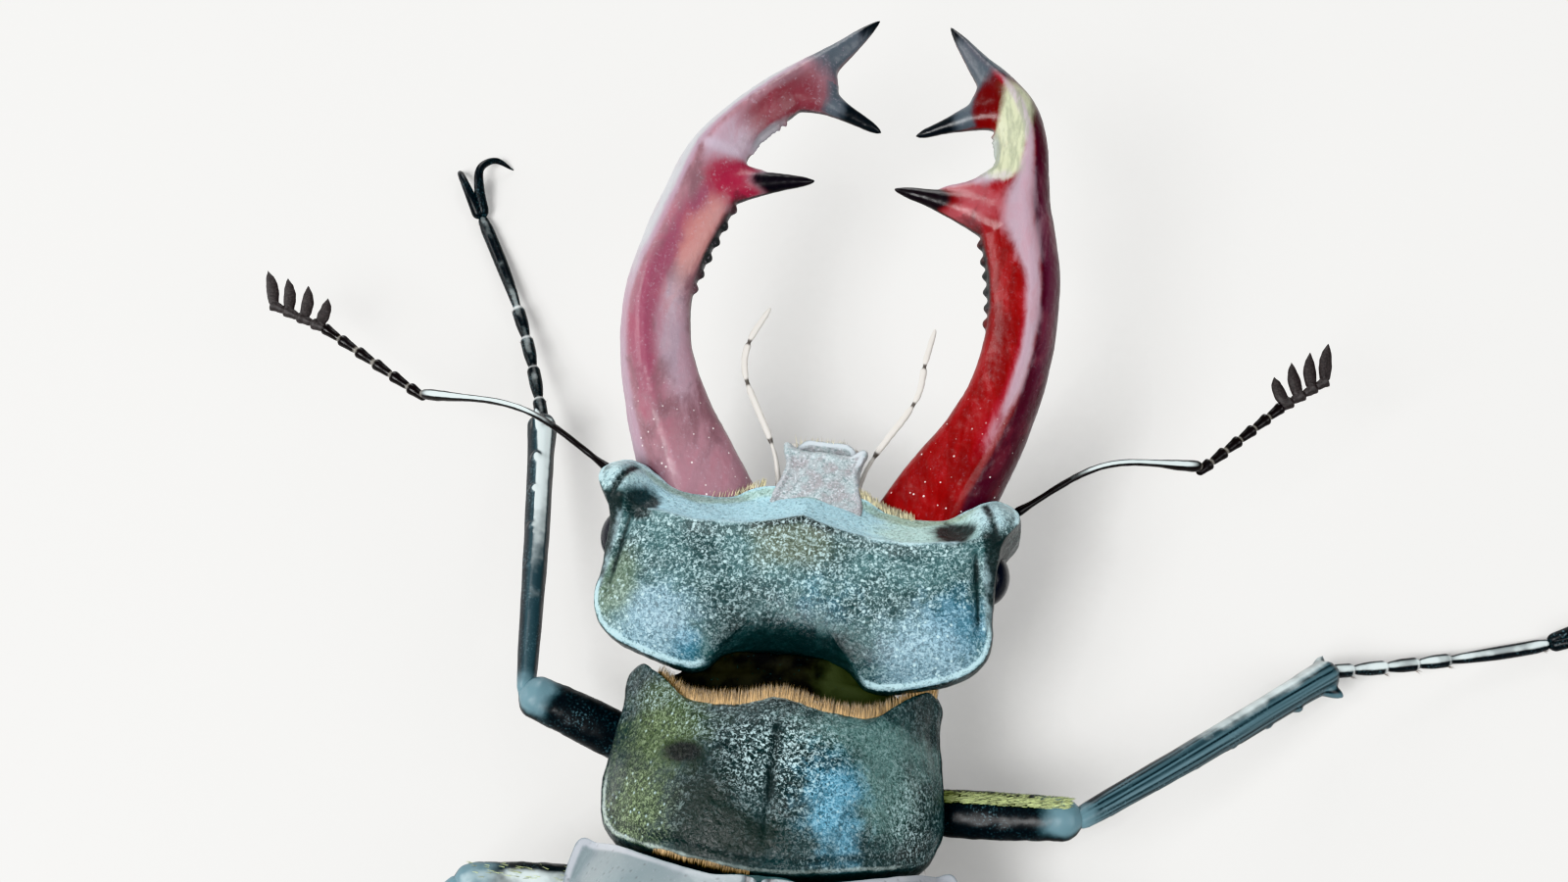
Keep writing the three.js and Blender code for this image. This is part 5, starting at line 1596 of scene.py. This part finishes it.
def limb_finish(name, body, bloom, joint, roughness):
    """Glossy dark horn with a faint second tone in fine grain, painted sheen in that tone on ridge tops,
    knees and the lit side of the shins, pale painted highlight streaks, and other skin at the joints.
    """
    finish = Finish(name)
    clouds = finish.grain(1.6, detail=3, roughness=0.5)
    fine = finish.grain(0.12, detail=2)
    cloudy = finish.between(clouds, 0.4, 0.7, 0.05, 0.5)
    colour = finish.mix(finish.math("MULTIPLY", finish.between(fine, 0.52, 0.7), cloudy), body, bloom)
    # painted highlight along the ridge tops, in the second tone
    colour = finish.mix(finish.math("MULTIPLY", finish.mask("ridge"), 0.6), colour, bloom)
    # painted sheen on the side of the shins that faces the light
    colour = finish.mix(finish.mask("cast"), colour, bloom)
    # knee: painted sheen; gleam: painted highlight streak
    tints = [("knee", bloom, 0.9), ("joint", joint, 0.9), ("gleam", (0.62, 0.7, 0.7), 0.9)]
    colour = tinted(finish, colour, tints, clouds)
    finish.bump(fine, 0.01, 0.4)
    finish.set(specular_ior_level=0.2, coat_weight=0.04, coat_roughness=0.25)
    return finish.done(colour, finish.between(clouds, 0.3, 0.7, roughness, roughness + 0.12))


def leg_points(leg):
    """Hip, knee, ankle and toe of a leg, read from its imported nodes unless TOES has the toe."""
    side_start = np.array(COXA_LINES[leg][0], float)
    hip, knee = ends(f"femur_{leg}", side_start)
    _, ankle = ends(f"tibia_{leg}", knee)
    _, toe = ends(f"tarsus_{leg}", ankle)
    return hip, knee, ankle, np.array(TOES[leg], float) if leg in TOES else toe


def thigh_line(hip, knee):
    """A thigh's slightly bowed line."""
    along = unit(knee - hip)
    return [hip, (hip + knee) / 2 + UP * 0.25 + np.cross(along, UP) * 0.12, knee + along * OVERLAP]


def leg_pieces(leg, material, shin_material):
    """The five pieces of one leg."""
    pair, side = leg.split("_")
    sign = SIDES[side]
    hip, knee, ankle, toe = leg_points(leg)
    inner, outer = (np.array(point, float) for point in COXA_LINES[leg])
    coxa = sweep([inner, (inner + outer) / 2, outer], COXA_PROFILE, oval(40), rings=50, blunt=(0.2, 0.2))
    make_piece(f"hip_{leg}", roughened(coxa, (0.6, 0.05)), BODY, material, "limb", f"coxa_{leg}")
    femur = sweep(thigh_line(hip, knee), FEMUR_PROFILE, oval(48), rings=110, blunt=(0.1, 0.1))
    share, upness = femur.values["share"], femur.values["upness"]
    # painted sheen on the upper side near the knee
    femur.set(knee=step(share, 0.72, 0.95) * step(upness, -0.2, 0.8))
    # painted highlight along the top of the left mid thigh
    if leg == "mid_left":
        femur.set(gleam=0.75 * step(upness, 0.8, 1.0) * band(share, 0.6, 0.3))
    femur = roughened(femur, (0.7, 0.05), (0.25, 0.02))
    make_piece(f"thigh_{leg}", femur, BODY, material, "limb", f"femur_{leg}")
    shin_piece(leg, pair, sign, knee, ankle, shin_material)
    foot_pieces(leg, ankle, toe, material)


def thorn(start, end, profile):
    """A spine or spur of a shin."""
    return sweep([start, np.add(start, end) / 2, end], profile, oval(16), rings=24, blunt=(0.1, 0.3))


def shin_parts(pair, outer, reach):
    """A shin's ridged beam, its outer spines and the spur at its end, along +Y from the knee."""
    profile = TIBIA_PROFILES[pair]
    count = 12 * RIDGES
    angles = 2 * np.pi * (np.arange(count) + 0.5) / count
    ripple = 1 + 0.07 * np.maximum(0, np.cos(angles * RIDGES)) ** 2
    middle = np.array([0.12 * outer, reach * 0.55, 0.12])
    line = [(0, -OVERLAP, 0), middle, (0, reach + OVERLAP, 0)]
    parts = [sweep(line, profile, oval(count) * ripple[:, None], rings=150, blunt=(0.03, 0.04))]
    for share, length in SPINES[pair]:
        edge = float(smooth_profile(profile, np.array([share]))[0][0])
        y = reach * share
        start = (outer * edge * 0.5, y - 0.2 * length, 0)
        end = (outer * (edge + 0.8 * length), y + 0.6 * length, 0)
        base = 0.55 if length > SHORT_SPINE else 0.4
        parts.append(thorn(start, end, [(0, base, base * 0.9), (0.6, 0.34, 0.3), (1, 0.14, 0.14)]))
    edge = profile[-2][1]
    start = (-outer * edge * 0.4, reach * SPUR_SHARE, 0)
    end = (-outer * (edge + 0.2), reach * SPUR_SHARE + INNER_SPUR, -0.15)
    parts.append(thorn(start, end, [(0, 0.42, 0.4), (0.6, 0.3, 0.3), (1, 0.12, 0.12)]))
    return parts


def shin_piece(leg, pair, sign, knee, ankle, material):
    """A shin with its ridges picked out as painted highlights, a painted blue sheen on one side and a pale
    painted highlight streak along its upper side.
    """
    place = aimed(knee, ankle, TIBIA_ROLL.get(leg, 0))
    reach = float(np.linalg.norm(ankle - knee))
    shape = fused(shin_parts(pair, sign if pair == "fore" else -sign, reach), LIMB_VOXEL, 3)
    x, y, z = shape.points.T
    share = np.clip(y / reach, 0, 1)
    half, high = smooth_profile(TIBIA_PROFILES[pair], share).T
    around = np.arctan2(z / high, x / half)
    facing = normals_of(shape) @ np.array(place.to_3x3().inverted())
    towards, narrow, strength = GLEAMS.get(leg, GLEAMS["others"])
    lines = 0.35 + 0.3 * np.cos(around * 17 + 2 * np.sin(6 * share))
    lines += 0.2 * np.cos(around * 29 - 3 * np.sin(4 * share))
    rolled = leg == "fore_left"
    ridges = np.maximum(0, np.cos(around * RIDGES)) ** 6 * step(share, 0.05, 0.15)
    # ridge: painted highlight on the ridge tops; cast: painted sheen; gleam: painted highlight streak
    shape.set(
        knee=0.9 * band(share, 0, 0.05),
        ridge=(0.2 if rolled else 1) * ridges,
        cast=(0.3 if rolled else lines) * step(facing @ CAST_TOWARDS, 0.35, 0.9),
        gleam=strength * step(facing @ towards, narrow, narrow + 0.26) * step(share, 0.2, 0.75),
    )
    make_piece(f"shin_{leg}", roughened(shape, (1.5, 0.02)), BODY @ place, material, "limb", f"tibia_{leg}")


def tarsus_line(ankle, toe, bow=0.0):
    """A foot's line, bent sideways by bow, and lower the nearer to the claws."""
    toe = np.array([toe[0], toe[1], TARSUS_RADIUS])
    side = unit(np.cross(toe - ankle, UP))
    line = []
    for share in (-0.05, 0.2, 0.4, 0.6, 0.8, 1.0):
        point = ankle + (toe - ankle) * share + side * bow * math.sin(math.pi * share)
        point[2] = toe[2] + (ankle[2] - toe[2]) * (1 - share) ** 1.8
        line.append(point)
    return line


def foot_pieces(leg, ankle, toe, material):
    """A foot of five joints, and its two claws with the stalk between them."""
    line = tarsus_line(ankle, toe, TARSUS_BOWS.get(leg, 0))
    profile = jointed_profile(TARSUS_PARTS, TARSUS_RADIUS, start=0.72, end=0.95)
    foot = sweep(line, profile, oval(24), rings=260, blunt=(0.02, 0.02))
    foot.set(joint=0.7 * joint_mask(foot.values["share"] + 0.012, TARSUS_PARTS, 0.007))
    # painted highlight along the top of the foot
    foot.set(gleam=(0.2 if leg == "fore_left" else 0.6) * step(foot.values["upness"], 0.75, 0.98))
    foot.points[:, 2] = np.maximum(foot.points[:, 2], SOLE)
    make_piece(f"foot_{leg}", foot, BODY, material, "limb", f"tarsus_{leg}")
    flat = (toe - ankle) * np.array([1, 1, 0])
    end = np.array([toe[0], toe[1], TARSUS_RADIUS])
    place = aimed(end, end + flat)
    parts = []
    for sign in SIDES.values():
        rows = ROLLED_CLAWS[sign] if leg == "fore_left" else CLAW_LINE
        claw = [(sign * x, y, z) for x, y, z in rows]
        parts.append(sweep(claw, CLAW_PROFILE, oval(20), rings=60, blunt=(0.1, 0.2)))
    parts.append(sweep(STALK_LINE, STALK_PROFILE, oval(12), rings=20, blunt=(0.1, 0.2)))
    claws = joined(parts)
    claws.points[:, 2] = np.maximum(claws.points[:, 2], SOLE - TARSUS_RADIUS)
    make_piece(f"claws_{leg}_pair", claws, BODY @ place, material, "limb", f"claws_{leg}")


class BEETLE_OT_legs(bpy.types.Operator):
    """Make the six legs"""

    bl_idname = "beetle.legs"
    bl_label = "Legs"

    def execute(self, context):
        settings = context.scene.beetle_limb
        material = limb_finish("horn_limb", settings.body, settings.steel, settings.joint, 0.34)
        body = [2.5 * value for value in settings.body]
        shin = limb_finish("horn_shin", body, settings.steel, settings.joint, 0.28)
        for leg in LEGS:
            leg_pieces(leg, material, shin)
        return {"FINISHED"}


# ---- hair ---------------------------------------------------------------------------------------

HAIR_LINE = 200  # points on a line along which hairs stand
HAIR_SIDES = 3
HAIR_RINGS = 3  # rings of corners along one hair, before its tip
ASKEW = (0.31, 0.17, 0.93)  # no hair points this way, so a hair's sides are measured from it
PATCH = 0.003  # how wide one hair's patch is in the OFBake map


class Coat:
    """Hairs gathered for one piece: tapered, bent spikes from their roots."""

    def __init__(self, seed):
        self.chance = random.Random(seed)
        self.points, self.faces, self.shades, self.patches = [], [], [], []

    def spread(self, low, high):
        """A chance number between two."""
        return self.chance.uniform(low, high)

    def hair(self, root, direction, length, width, place, droop=0.25, stray=0.12):
        """One hair. place is its root's place on the unwrapped skin, each part from 0 to 1."""
        direction = unit(direction + np.array([self.spread(-stray, stray) for _ in range(3)]))
        bend = -UP * droop + [self.spread(-stray, stray) for _ in range(3)]
        side = unit(np.cross(direction, ASKEW))
        top = np.cross(side, direction)
        length *= self.spread(0.75, 1.15)
        first = len(self.points)
        shade = self.chance.random()
        for ring in range(HAIR_RINGS):
            share = ring / HAIR_RINGS
            middle = root + direction * length * share + bend * length * share**2 * 0.5
            radius = width / 2 * (1 - 0.75 * share)
            for corner in range(HAIR_SIDES):
                angle = 2 * math.pi * corner / HAIR_SIDES
                spot = (0.5 + 0.4 * math.cos(angle), 0.1 + 0.8 * share + 0.02 * corner)
                out = side * math.cos(angle) + top * math.sin(angle)
                self.add(middle + out * radius, shade, place, spot)
        self.add(root + direction * length + bend * length * 0.5, shade, place, (0.5, 0.98))
        for ring in range(HAIR_RINGS - 1):
            for corner in range(HAIR_SIDES):
                after = (corner + 1) % HAIR_SIDES
                a, b = first + ring * HAIR_SIDES, first + (ring + 1) * HAIR_SIDES
                self.faces.append((a + corner, a + after, b + after, b + corner))
        last = first + (HAIR_RINGS - 1) * HAIR_SIDES
        tip = first + HAIR_RINGS * HAIR_SIDES
        for corner in range(HAIR_SIDES):
            self.faces.append((last + corner, last + (corner + 1) % HAIR_SIDES, tip))

    def add(self, point, shade, place, spot):
        """One corner of a hair, with its shade and its place in the OFBake map."""
        self.points.append(point)
        self.shades.append(shade)
        u, v = (0.01 + 0.98 * min(max(value, 0.0), 1.0) for value in place)
        self.patches.append((u + (spot[0] - 0.5) * PATCH, v + (spot[1] - 0.5) * PATCH))

    def piece(self, name, place, material, slot):
        """The gathered hairs as one Blender object."""
        shape = Shape(self.points, self.faces, shade=np.array(self.shades))
        thing = make_piece(name, shape, place, material, slot)
        layer = thing.data.uv_layers.new(name="OFBake")
        corners = np.zeros(len(thing.data.loops), int)
        thing.data.loops.foreach_get("vertex_index", corners)
        layer.data.foreach_set("uv", np.array(self.patches)[corners].ravel())
        return thing


def hair_finish(name, colour):
    """Silky hair, each one a little lighter or darker than its neighbours."""
    finish = Finish(name)
    shade = finish.mask("shade")
    dark = [0.3 * value for value in colour]
    light = [min(1.0, 1.5 * value) for value in colour]
    tone = finish.mix(finish.between(shade, 0.0, 0.6), dark, colour)
    tone = finish.mix(finish.between(shade, 0.6, 1.0), tone, light)
    finish.set(specular_ior_level=0.45, sheen_weight=0.3)
    return finish.done(tone, 0.45)


def margin_hairs(coat, outline, height, keep, rows, count, length, width, lean):
    """Hairs along a margin in the plan, pointing outward and leaning by lean."""
    line = smooth_curve(outline, count, closed=True)
    for index, (spot, out) in enumerate(zip(line, outward_of(line, line.mean(0)))):
        if not keep(*spot):
            continue
        for row in range(rows):
            inset = 0.1 + 0.16 * row + coat.spread(-0.06, 0.06)
            x, y = spot - out * inset + np.array([-out[1], out[0]]) * coat.spread(-0.08, 0.08)
            root = np.array([x, y, height(x, y, row)])
            direction = np.array([0.3 * out[0] + lean[0], 0.5 * out[1] + lean[1], lean[2]])
            coat.hair(root, direction, length, width, (index / count, 0.1 + 0.8 * row / rows))


def under_edge(x, y, row):
    """How high the hairs of a row grow below the margin of the thorax shield."""
    height = shield_top(*(np.array([value]) for value in (x, y, 0.97, 0.1)))[0]
    return height - 0.12 - 0.1 * row


def shield_fringes(settings, gold):
    """The golden fringes before and behind the thorax shield."""
    width = settings.thickness / MM
    length = settings.fringe / MM

    def in_front(x, y):
        """Whether the front fringe grows at a place on the margin."""
        return y > 6.0 and -6.3 < x < 7.8

    def behind(x, y):
        """Whether the rear fringe grows there."""
        return y < -0.2 and -5.4 < x < -0.6

    front, rear = Coat(11), Coat(12)
    margin_hairs(front, PRONOTUM_OUTLINE, under_edge, in_front, 6, 4200, length, width, (0, 0.9, 0))
    margin_hairs(rear, PRONOTUM_OUTLINE, under_edge, behind, 3, 2600, length * 0.4, width, (0, -0.7, -0.1))
    front.piece("fringe_front", BODY, gold, "shell")
    rear.piece("fringe_rear", BODY, gold, "shell")


def limb_hairs(coat, line, half, choose, count, length, width, lay, row):
    """Hairs on a round limb. choose gives how far along and round (in turns) a hair stands."""
    fine = smooth_curve(line, HAIR_LINE)
    for _ in range(count):
        share, turn = choose(coat)
        index = int(share * (HAIR_LINE - 2))
        along = unit(fine[index + 1] - fine[index])
        side, top = crosswise(along)
        angle = 2 * math.pi * turn
        out = side * math.cos(angle) + top * math.sin(angle)
        root = fine[index] + out * half(share) * 0.97
        coat.hair(root, along * lay[0] + out * lay[1], length, width, (share, (row + turn % 1.0) / 14))


def thigh_half(share):
    """The width of a thigh at a share of its length."""
    return float(smooth_profile(FEMUR_PROFILE, np.array([share]))[0].mean())


NAP_HAIRS = {"fore_left": 0, "fore_right": 2100, "mid_left": 120}  # hairs on a thigh
NAP_HAIRS_ELSEWHERE = 1100
BRISTLES = 14  # at the end of each joint of a foot
HAIR_FLOOR = 0.01  # no bristle reaches lower


def foot_bristles(coat, ankle, toe, bow, width, row):
    """Bristles under the joints of a foot."""
    line = smooth_curve(tarsus_line(ankle, toe, bow), HAIR_LINE)
    for part in TARSUS_PARTS[1:]:
        index = int(min(part - 0.02, 0.97) * (HAIR_LINE - 1))
        along = unit(line[index + 1] - line[index])
        side = np.cross(along, UP)
        for _ in range(BRISTLES):
            angle = coat.spread(-2.6, -0.5)
            out = side * math.cos(angle) + np.cross(side, along) * math.sin(angle)
            root = line[index] + out * TARSUS_RADIUS * 0.75
            reach = min(0.6, 0.25 + max(0.0, root[2] - 0.1))
            coat.hair(root, along * 1.1 + out * 0.5, reach, width, (part, row / 14), droop=0.0, stray=0.2)


def leg_hair(settings, nap, dark):
    """Flat nap on the thighs, and bristles under the feet."""
    width = settings.thickness / MM
    thighs, feet = Coat(21), Coat(22)
    for row, leg in enumerate(LEGS):
        hip, knee, ankle, toe = leg_points(leg)
        front = 0.38 if leg.endswith("right") else 0.12
        spread = 0.1 if leg.startswith("fore") else 0.12
        count = NAP_HAIRS.get(leg, NAP_HAIRS_ELSEWHERE)

        def along_front(coat, front=front, spread=spread):
            """A chance place on the front of the thigh."""
            return coat.spread(0.1, 0.93), front + coat.spread(-spread, spread)

        line = thigh_line(hip, knee)
        limb_hairs(thighs, line, thigh_half, along_front, count, 0.42, width, (1.0, 0.25), row)
        foot_bristles(feet, ankle, toe, TARSUS_BOWS.get(leg, 0), width, row)
    thighs.piece("nap_thighs", BODY, nap, "limb")
    feet.points = [np.array([x, y, max(z, HAIR_FLOOR)]) for x, y, z in feet.points]
    feet.piece("bristles_feet", BODY, dark, "limb")


UNDERSIDE_HAIRS = 2600  # on each plate
UNDERSIDE_PLATES = [  # outline, centre, and the depth of the plate at its centre and its curl at the rim
    (PROSTERNUM_OUTLINE, (0, 2.6), 4.6, 2.6),
    (METASTERNUM_OUTLINE, (0, -9), 4.0, 2.8),
]


def underside_hair(settings, under):
    """Longer hair on the chest and the breast, lying back."""
    width = 1.1 * settings.thickness / MM
    coat = Coat(31)
    for row, (outline, centre, low, curl) in enumerate(UNDERSIDE_PLATES):
        line = smooth_curve(outline, FINE, closed=True)
        for _ in range(UNDERSIDE_HAIRS):
            index = coat.chance.randrange(FINE)
            rim = coat.spread(0.05, 0.97) ** 0.6
            x, y = np.array(centre) + (line[index] - centre) * rim
            root = np.array([x, y, low + curl * rim**3 + 0.05])
            lay = (0.25 * np.sign(x), -1.0, -0.55)
            coat.hair(root, lay, 0.95, width, (index / FINE, 0.5 * row + 0.48 * rim), droop=0.1, stray=0.3)
    coat.piece("hair_underside", BODY, under, "shell")


FACE_HAIRS = {-1: (90, 2.5), 1: (420, 1.4)}  # for each side: how many, and how much they gather inward
FACE_MARGIN = np.array([[2.5, 10.9], [5.4, 9.9]])  # where the jaw leaves the head, inner and outer end
LIP_HAIRS = 60


def face_hair(settings, straw):
    """Short pale hair where the jaws leave the head, and bristles on the upper lip."""
    width = settings.thickness / MM
    coat = Coat(41)
    inner, outer = FACE_MARGIN
    for sign, (count, gather) in FACE_HAIRS.items():
        for _ in range(count):
            share = coat.chance.random() ** gather
            x, y = inner + (outer - inner) * share
            x += coat.spread(-0.15, 0.15)
            y += coat.spread(-0.15, 0.15)
            height = crown(*(np.array([value]) for value in (x, y, 0.98, 0.1)))[0]
            root = np.array([sign * x, y, height - 0.1])
            coat.hair(root, (-sign * 0.2, 1.0, 0.35), 0.4, width, (share, 0.3 + 0.2 * sign), droop=0.3)
    for _ in range(LIP_HAIRS):
        x = coat.spread(-1.3, 1.3)
        coat.hair(np.array([x, 13.5, -0.75]), (x * 0.1, 1.0, 0.05), 0.8, width, (0.5 + 0.3 * x, 0.8))
    coat.piece("hair_face", HEAD, straw, "clypeus")


class BEETLE_OT_hair(bpy.types.Operator):
    """Set the fringes, the nap, the bristles and the hair of the underside"""

    bl_idname = "beetle.hair"
    bl_label = "Hair"

    def execute(self, context):
        settings = context.scene.beetle_hair
        gold = hair_finish("hair_gold", settings.gold)
        nap = hair_finish("hair_nap", settings.nap)
        under = hair_finish("hair_under", settings.under)
        dark = hair_finish("hair_dark", (0.12, 0.08, 0.05))
        straw = hair_finish("hair_straw", (0.6, 0.55, 0.35))
        shield_fringes(settings, gold)
        leg_hair(settings, nap, dark)
        underside_hair(settings, under)
        face_hair(settings, straw)
        return {"FINISHED"}


# ---- stage --------------------------------------------------------------------------------------

TARGET = (-1.4, 22, 12)  # what the camera looks at, in millimetres in the beetle's own frame
AZIMUTH, ELEVATION = 6, 65  # degrees round towards the beetle's right from behind it, and up
FLOOR_HALF = 1.5  # metres
LIGHTS = [  # name, azimuth, elevation, distance, size, share of the key's power
    ("key", 320, 50, 0.4, 0.2, 1.0),
    ("fill", 70, 42, 0.4, 0.28, 0.45),
    ("front", 192, 22, 0.36, 0.2, 0.35),
    ("left", 262, 20, 0.36, 0.16, 0.25),
]


def seen_from(azimuth, elevation, distance):
    """A place in the row's frame, as seen from the target, by angles in the beetle's own frame."""
    a, e = math.radians(azimuth), math.radians(elevation)
    direction = Vector((math.sin(a) * math.cos(e), -math.cos(a) * math.cos(e), math.sin(e)))
    return BODY @ Vector(TARGET) + (BODY.to_3x3().normalized() @ direction) * distance


def looking(thing, spot):
    """The object placed at a spot and turned to the target."""
    thing.location = spot
    thing.rotation_euler = (BODY @ Vector(TARGET) - spot).to_track_quat("-Z", "Y").to_euler()
    bpy.context.scene.collection.objects.link(thing)
    return thing


class BEETLE_OT_stage(bpy.types.Operator):
    """Lay the floor, set the lights and place the camera"""

    bl_idname = "beetle.stage"
    bl_label = "Stage"

    def execute(self, context):
        settings = context.scene.beetle_stage
        mesh = bpy.data.meshes.new("floor")
        corners = [(-1, -1), (1, -1), (1, 1), (-1, 1)]
        mesh.from_pydata([(x * FLOOR_HALF, y * FLOOR_HALF, 0) for x, y in corners], [], [(0, 1, 2, 3)])
        floor = bpy.data.objects.new("floor", mesh)
        context.scene.collection.objects.link(floor)
        finish = Finish("floor_paper")
        grain = finish.grain(0.6, detail=3)
        shade = [0.96 * value for value in settings.floor]
        mesh.materials.append(finish.done(finish.mix(grain, shade, settings.floor), 0.7))
        for name, azimuth, elevation, distance, size, share in LIGHTS:
            light = bpy.data.lights.new(name, "AREA")
            light.shape = "SQUARE"
            light.size = size
            light.energy = settings.key * share
            looking(bpy.data.objects.new(name, light), seen_from(azimuth, elevation, distance))
        world = bpy.data.worlds.new("studio")
        world.use_nodes = True
        background = world.node_tree.nodes["Background"]
        background.inputs["Color"].default_value = (0.93, 0.96, 1.0, 1.0)
        background.inputs["Strength"].default_value = 0.18
        context.scene.world = world
        context.scene.view_settings.view_transform = "Khronos PBR Neutral"
        camera = bpy.data.cameras.new("camera")
        camera.lens = settings.lens
        camera.sensor_width = 36
        camera.clip_start = 0.01
        context.scene.camera = looking(
            bpy.data.objects.new("camera", camera), seen_from(AZIMUTH, ELEVATION, settings.distance)
        )
        return {"FINISHED"}


# ---- add-on -------------------------------------------------------------------------------------

SETTINGS = {
    "beetle_shell": ShellSettings,
    "beetle_clypeus": ClypeusSettings,
    "beetle_jaw": JawSettings,
    "beetle_wing": WingSettings,
    "beetle_limb": LimbSettings,
    "beetle_feeler": FeelerSettings,
    "beetle_hair": HairSettings,
    "beetle_stage": StageSettings,
}
STEPS = [
    (BEETLE_OT_head, "beetle_shell"),
    (BEETLE_OT_clypeus, "beetle_clypeus"),
    (BEETLE_OT_jaws, "beetle_jaw"),
    (BEETLE_OT_thorax, "beetle_shell"),
    (BEETLE_OT_wings, "beetle_wing"),
    (BEETLE_OT_feelers, "beetle_feeler"),
    (BEETLE_OT_legs, "beetle_limb"),
    (BEETLE_OT_hair, "beetle_hair"),
    (BEETLE_OT_stage, "beetle_stage"),
]


class BEETLE_PT_panel(bpy.types.Panel):
    """Every step of the beetle, with its settings"""

    bl_idname = "BEETLE_PT_panel"
    bl_label = "Stag beetle"
    bl_space_type = "VIEW_3D"
    bl_region_type = "UI"
    bl_category = "Beetle"

    def draw(self, context):
        for operator, group in STEPS:
            box = self.layout.box()
            box.operator(operator.bl_idname)
            settings = getattr(context.scene, group)
            for name in settings.__annotations__:
                box.prop(settings, name)


CLASSES = [*SETTINGS.values(), *[operator for operator, _ in STEPS], BEETLE_PT_panel]


def register():
    """Adds the settings, the operators and the panel to Blender."""
    for item in CLASSES:
        bpy.utils.register_class(item)
    for name, group in SETTINGS.items():
        setattr(bpy.types.Scene, name, bpy.props.PointerProperty(type=group))


def unregister():
    """Takes them out again."""
    for name in SETTINGS:
        delattr(bpy.types.Scene, name)
    for item in reversed(CLASSES):
        bpy.utils.unregister_class(item)


def main():
    """Makes every piece in order."""
    register()
    bpy.ops.beetle.head()
    bpy.ops.beetle.clypeus()
    bpy.ops.beetle.jaws()
    bpy.ops.beetle.thorax()
    bpy.ops.beetle.wings()
    bpy.ops.beetle.feelers()
    bpy.ops.beetle.legs()
    bpy.ops.beetle.hair()
    bpy.ops.beetle.stage()


if __name__ == "__main__":
    main()
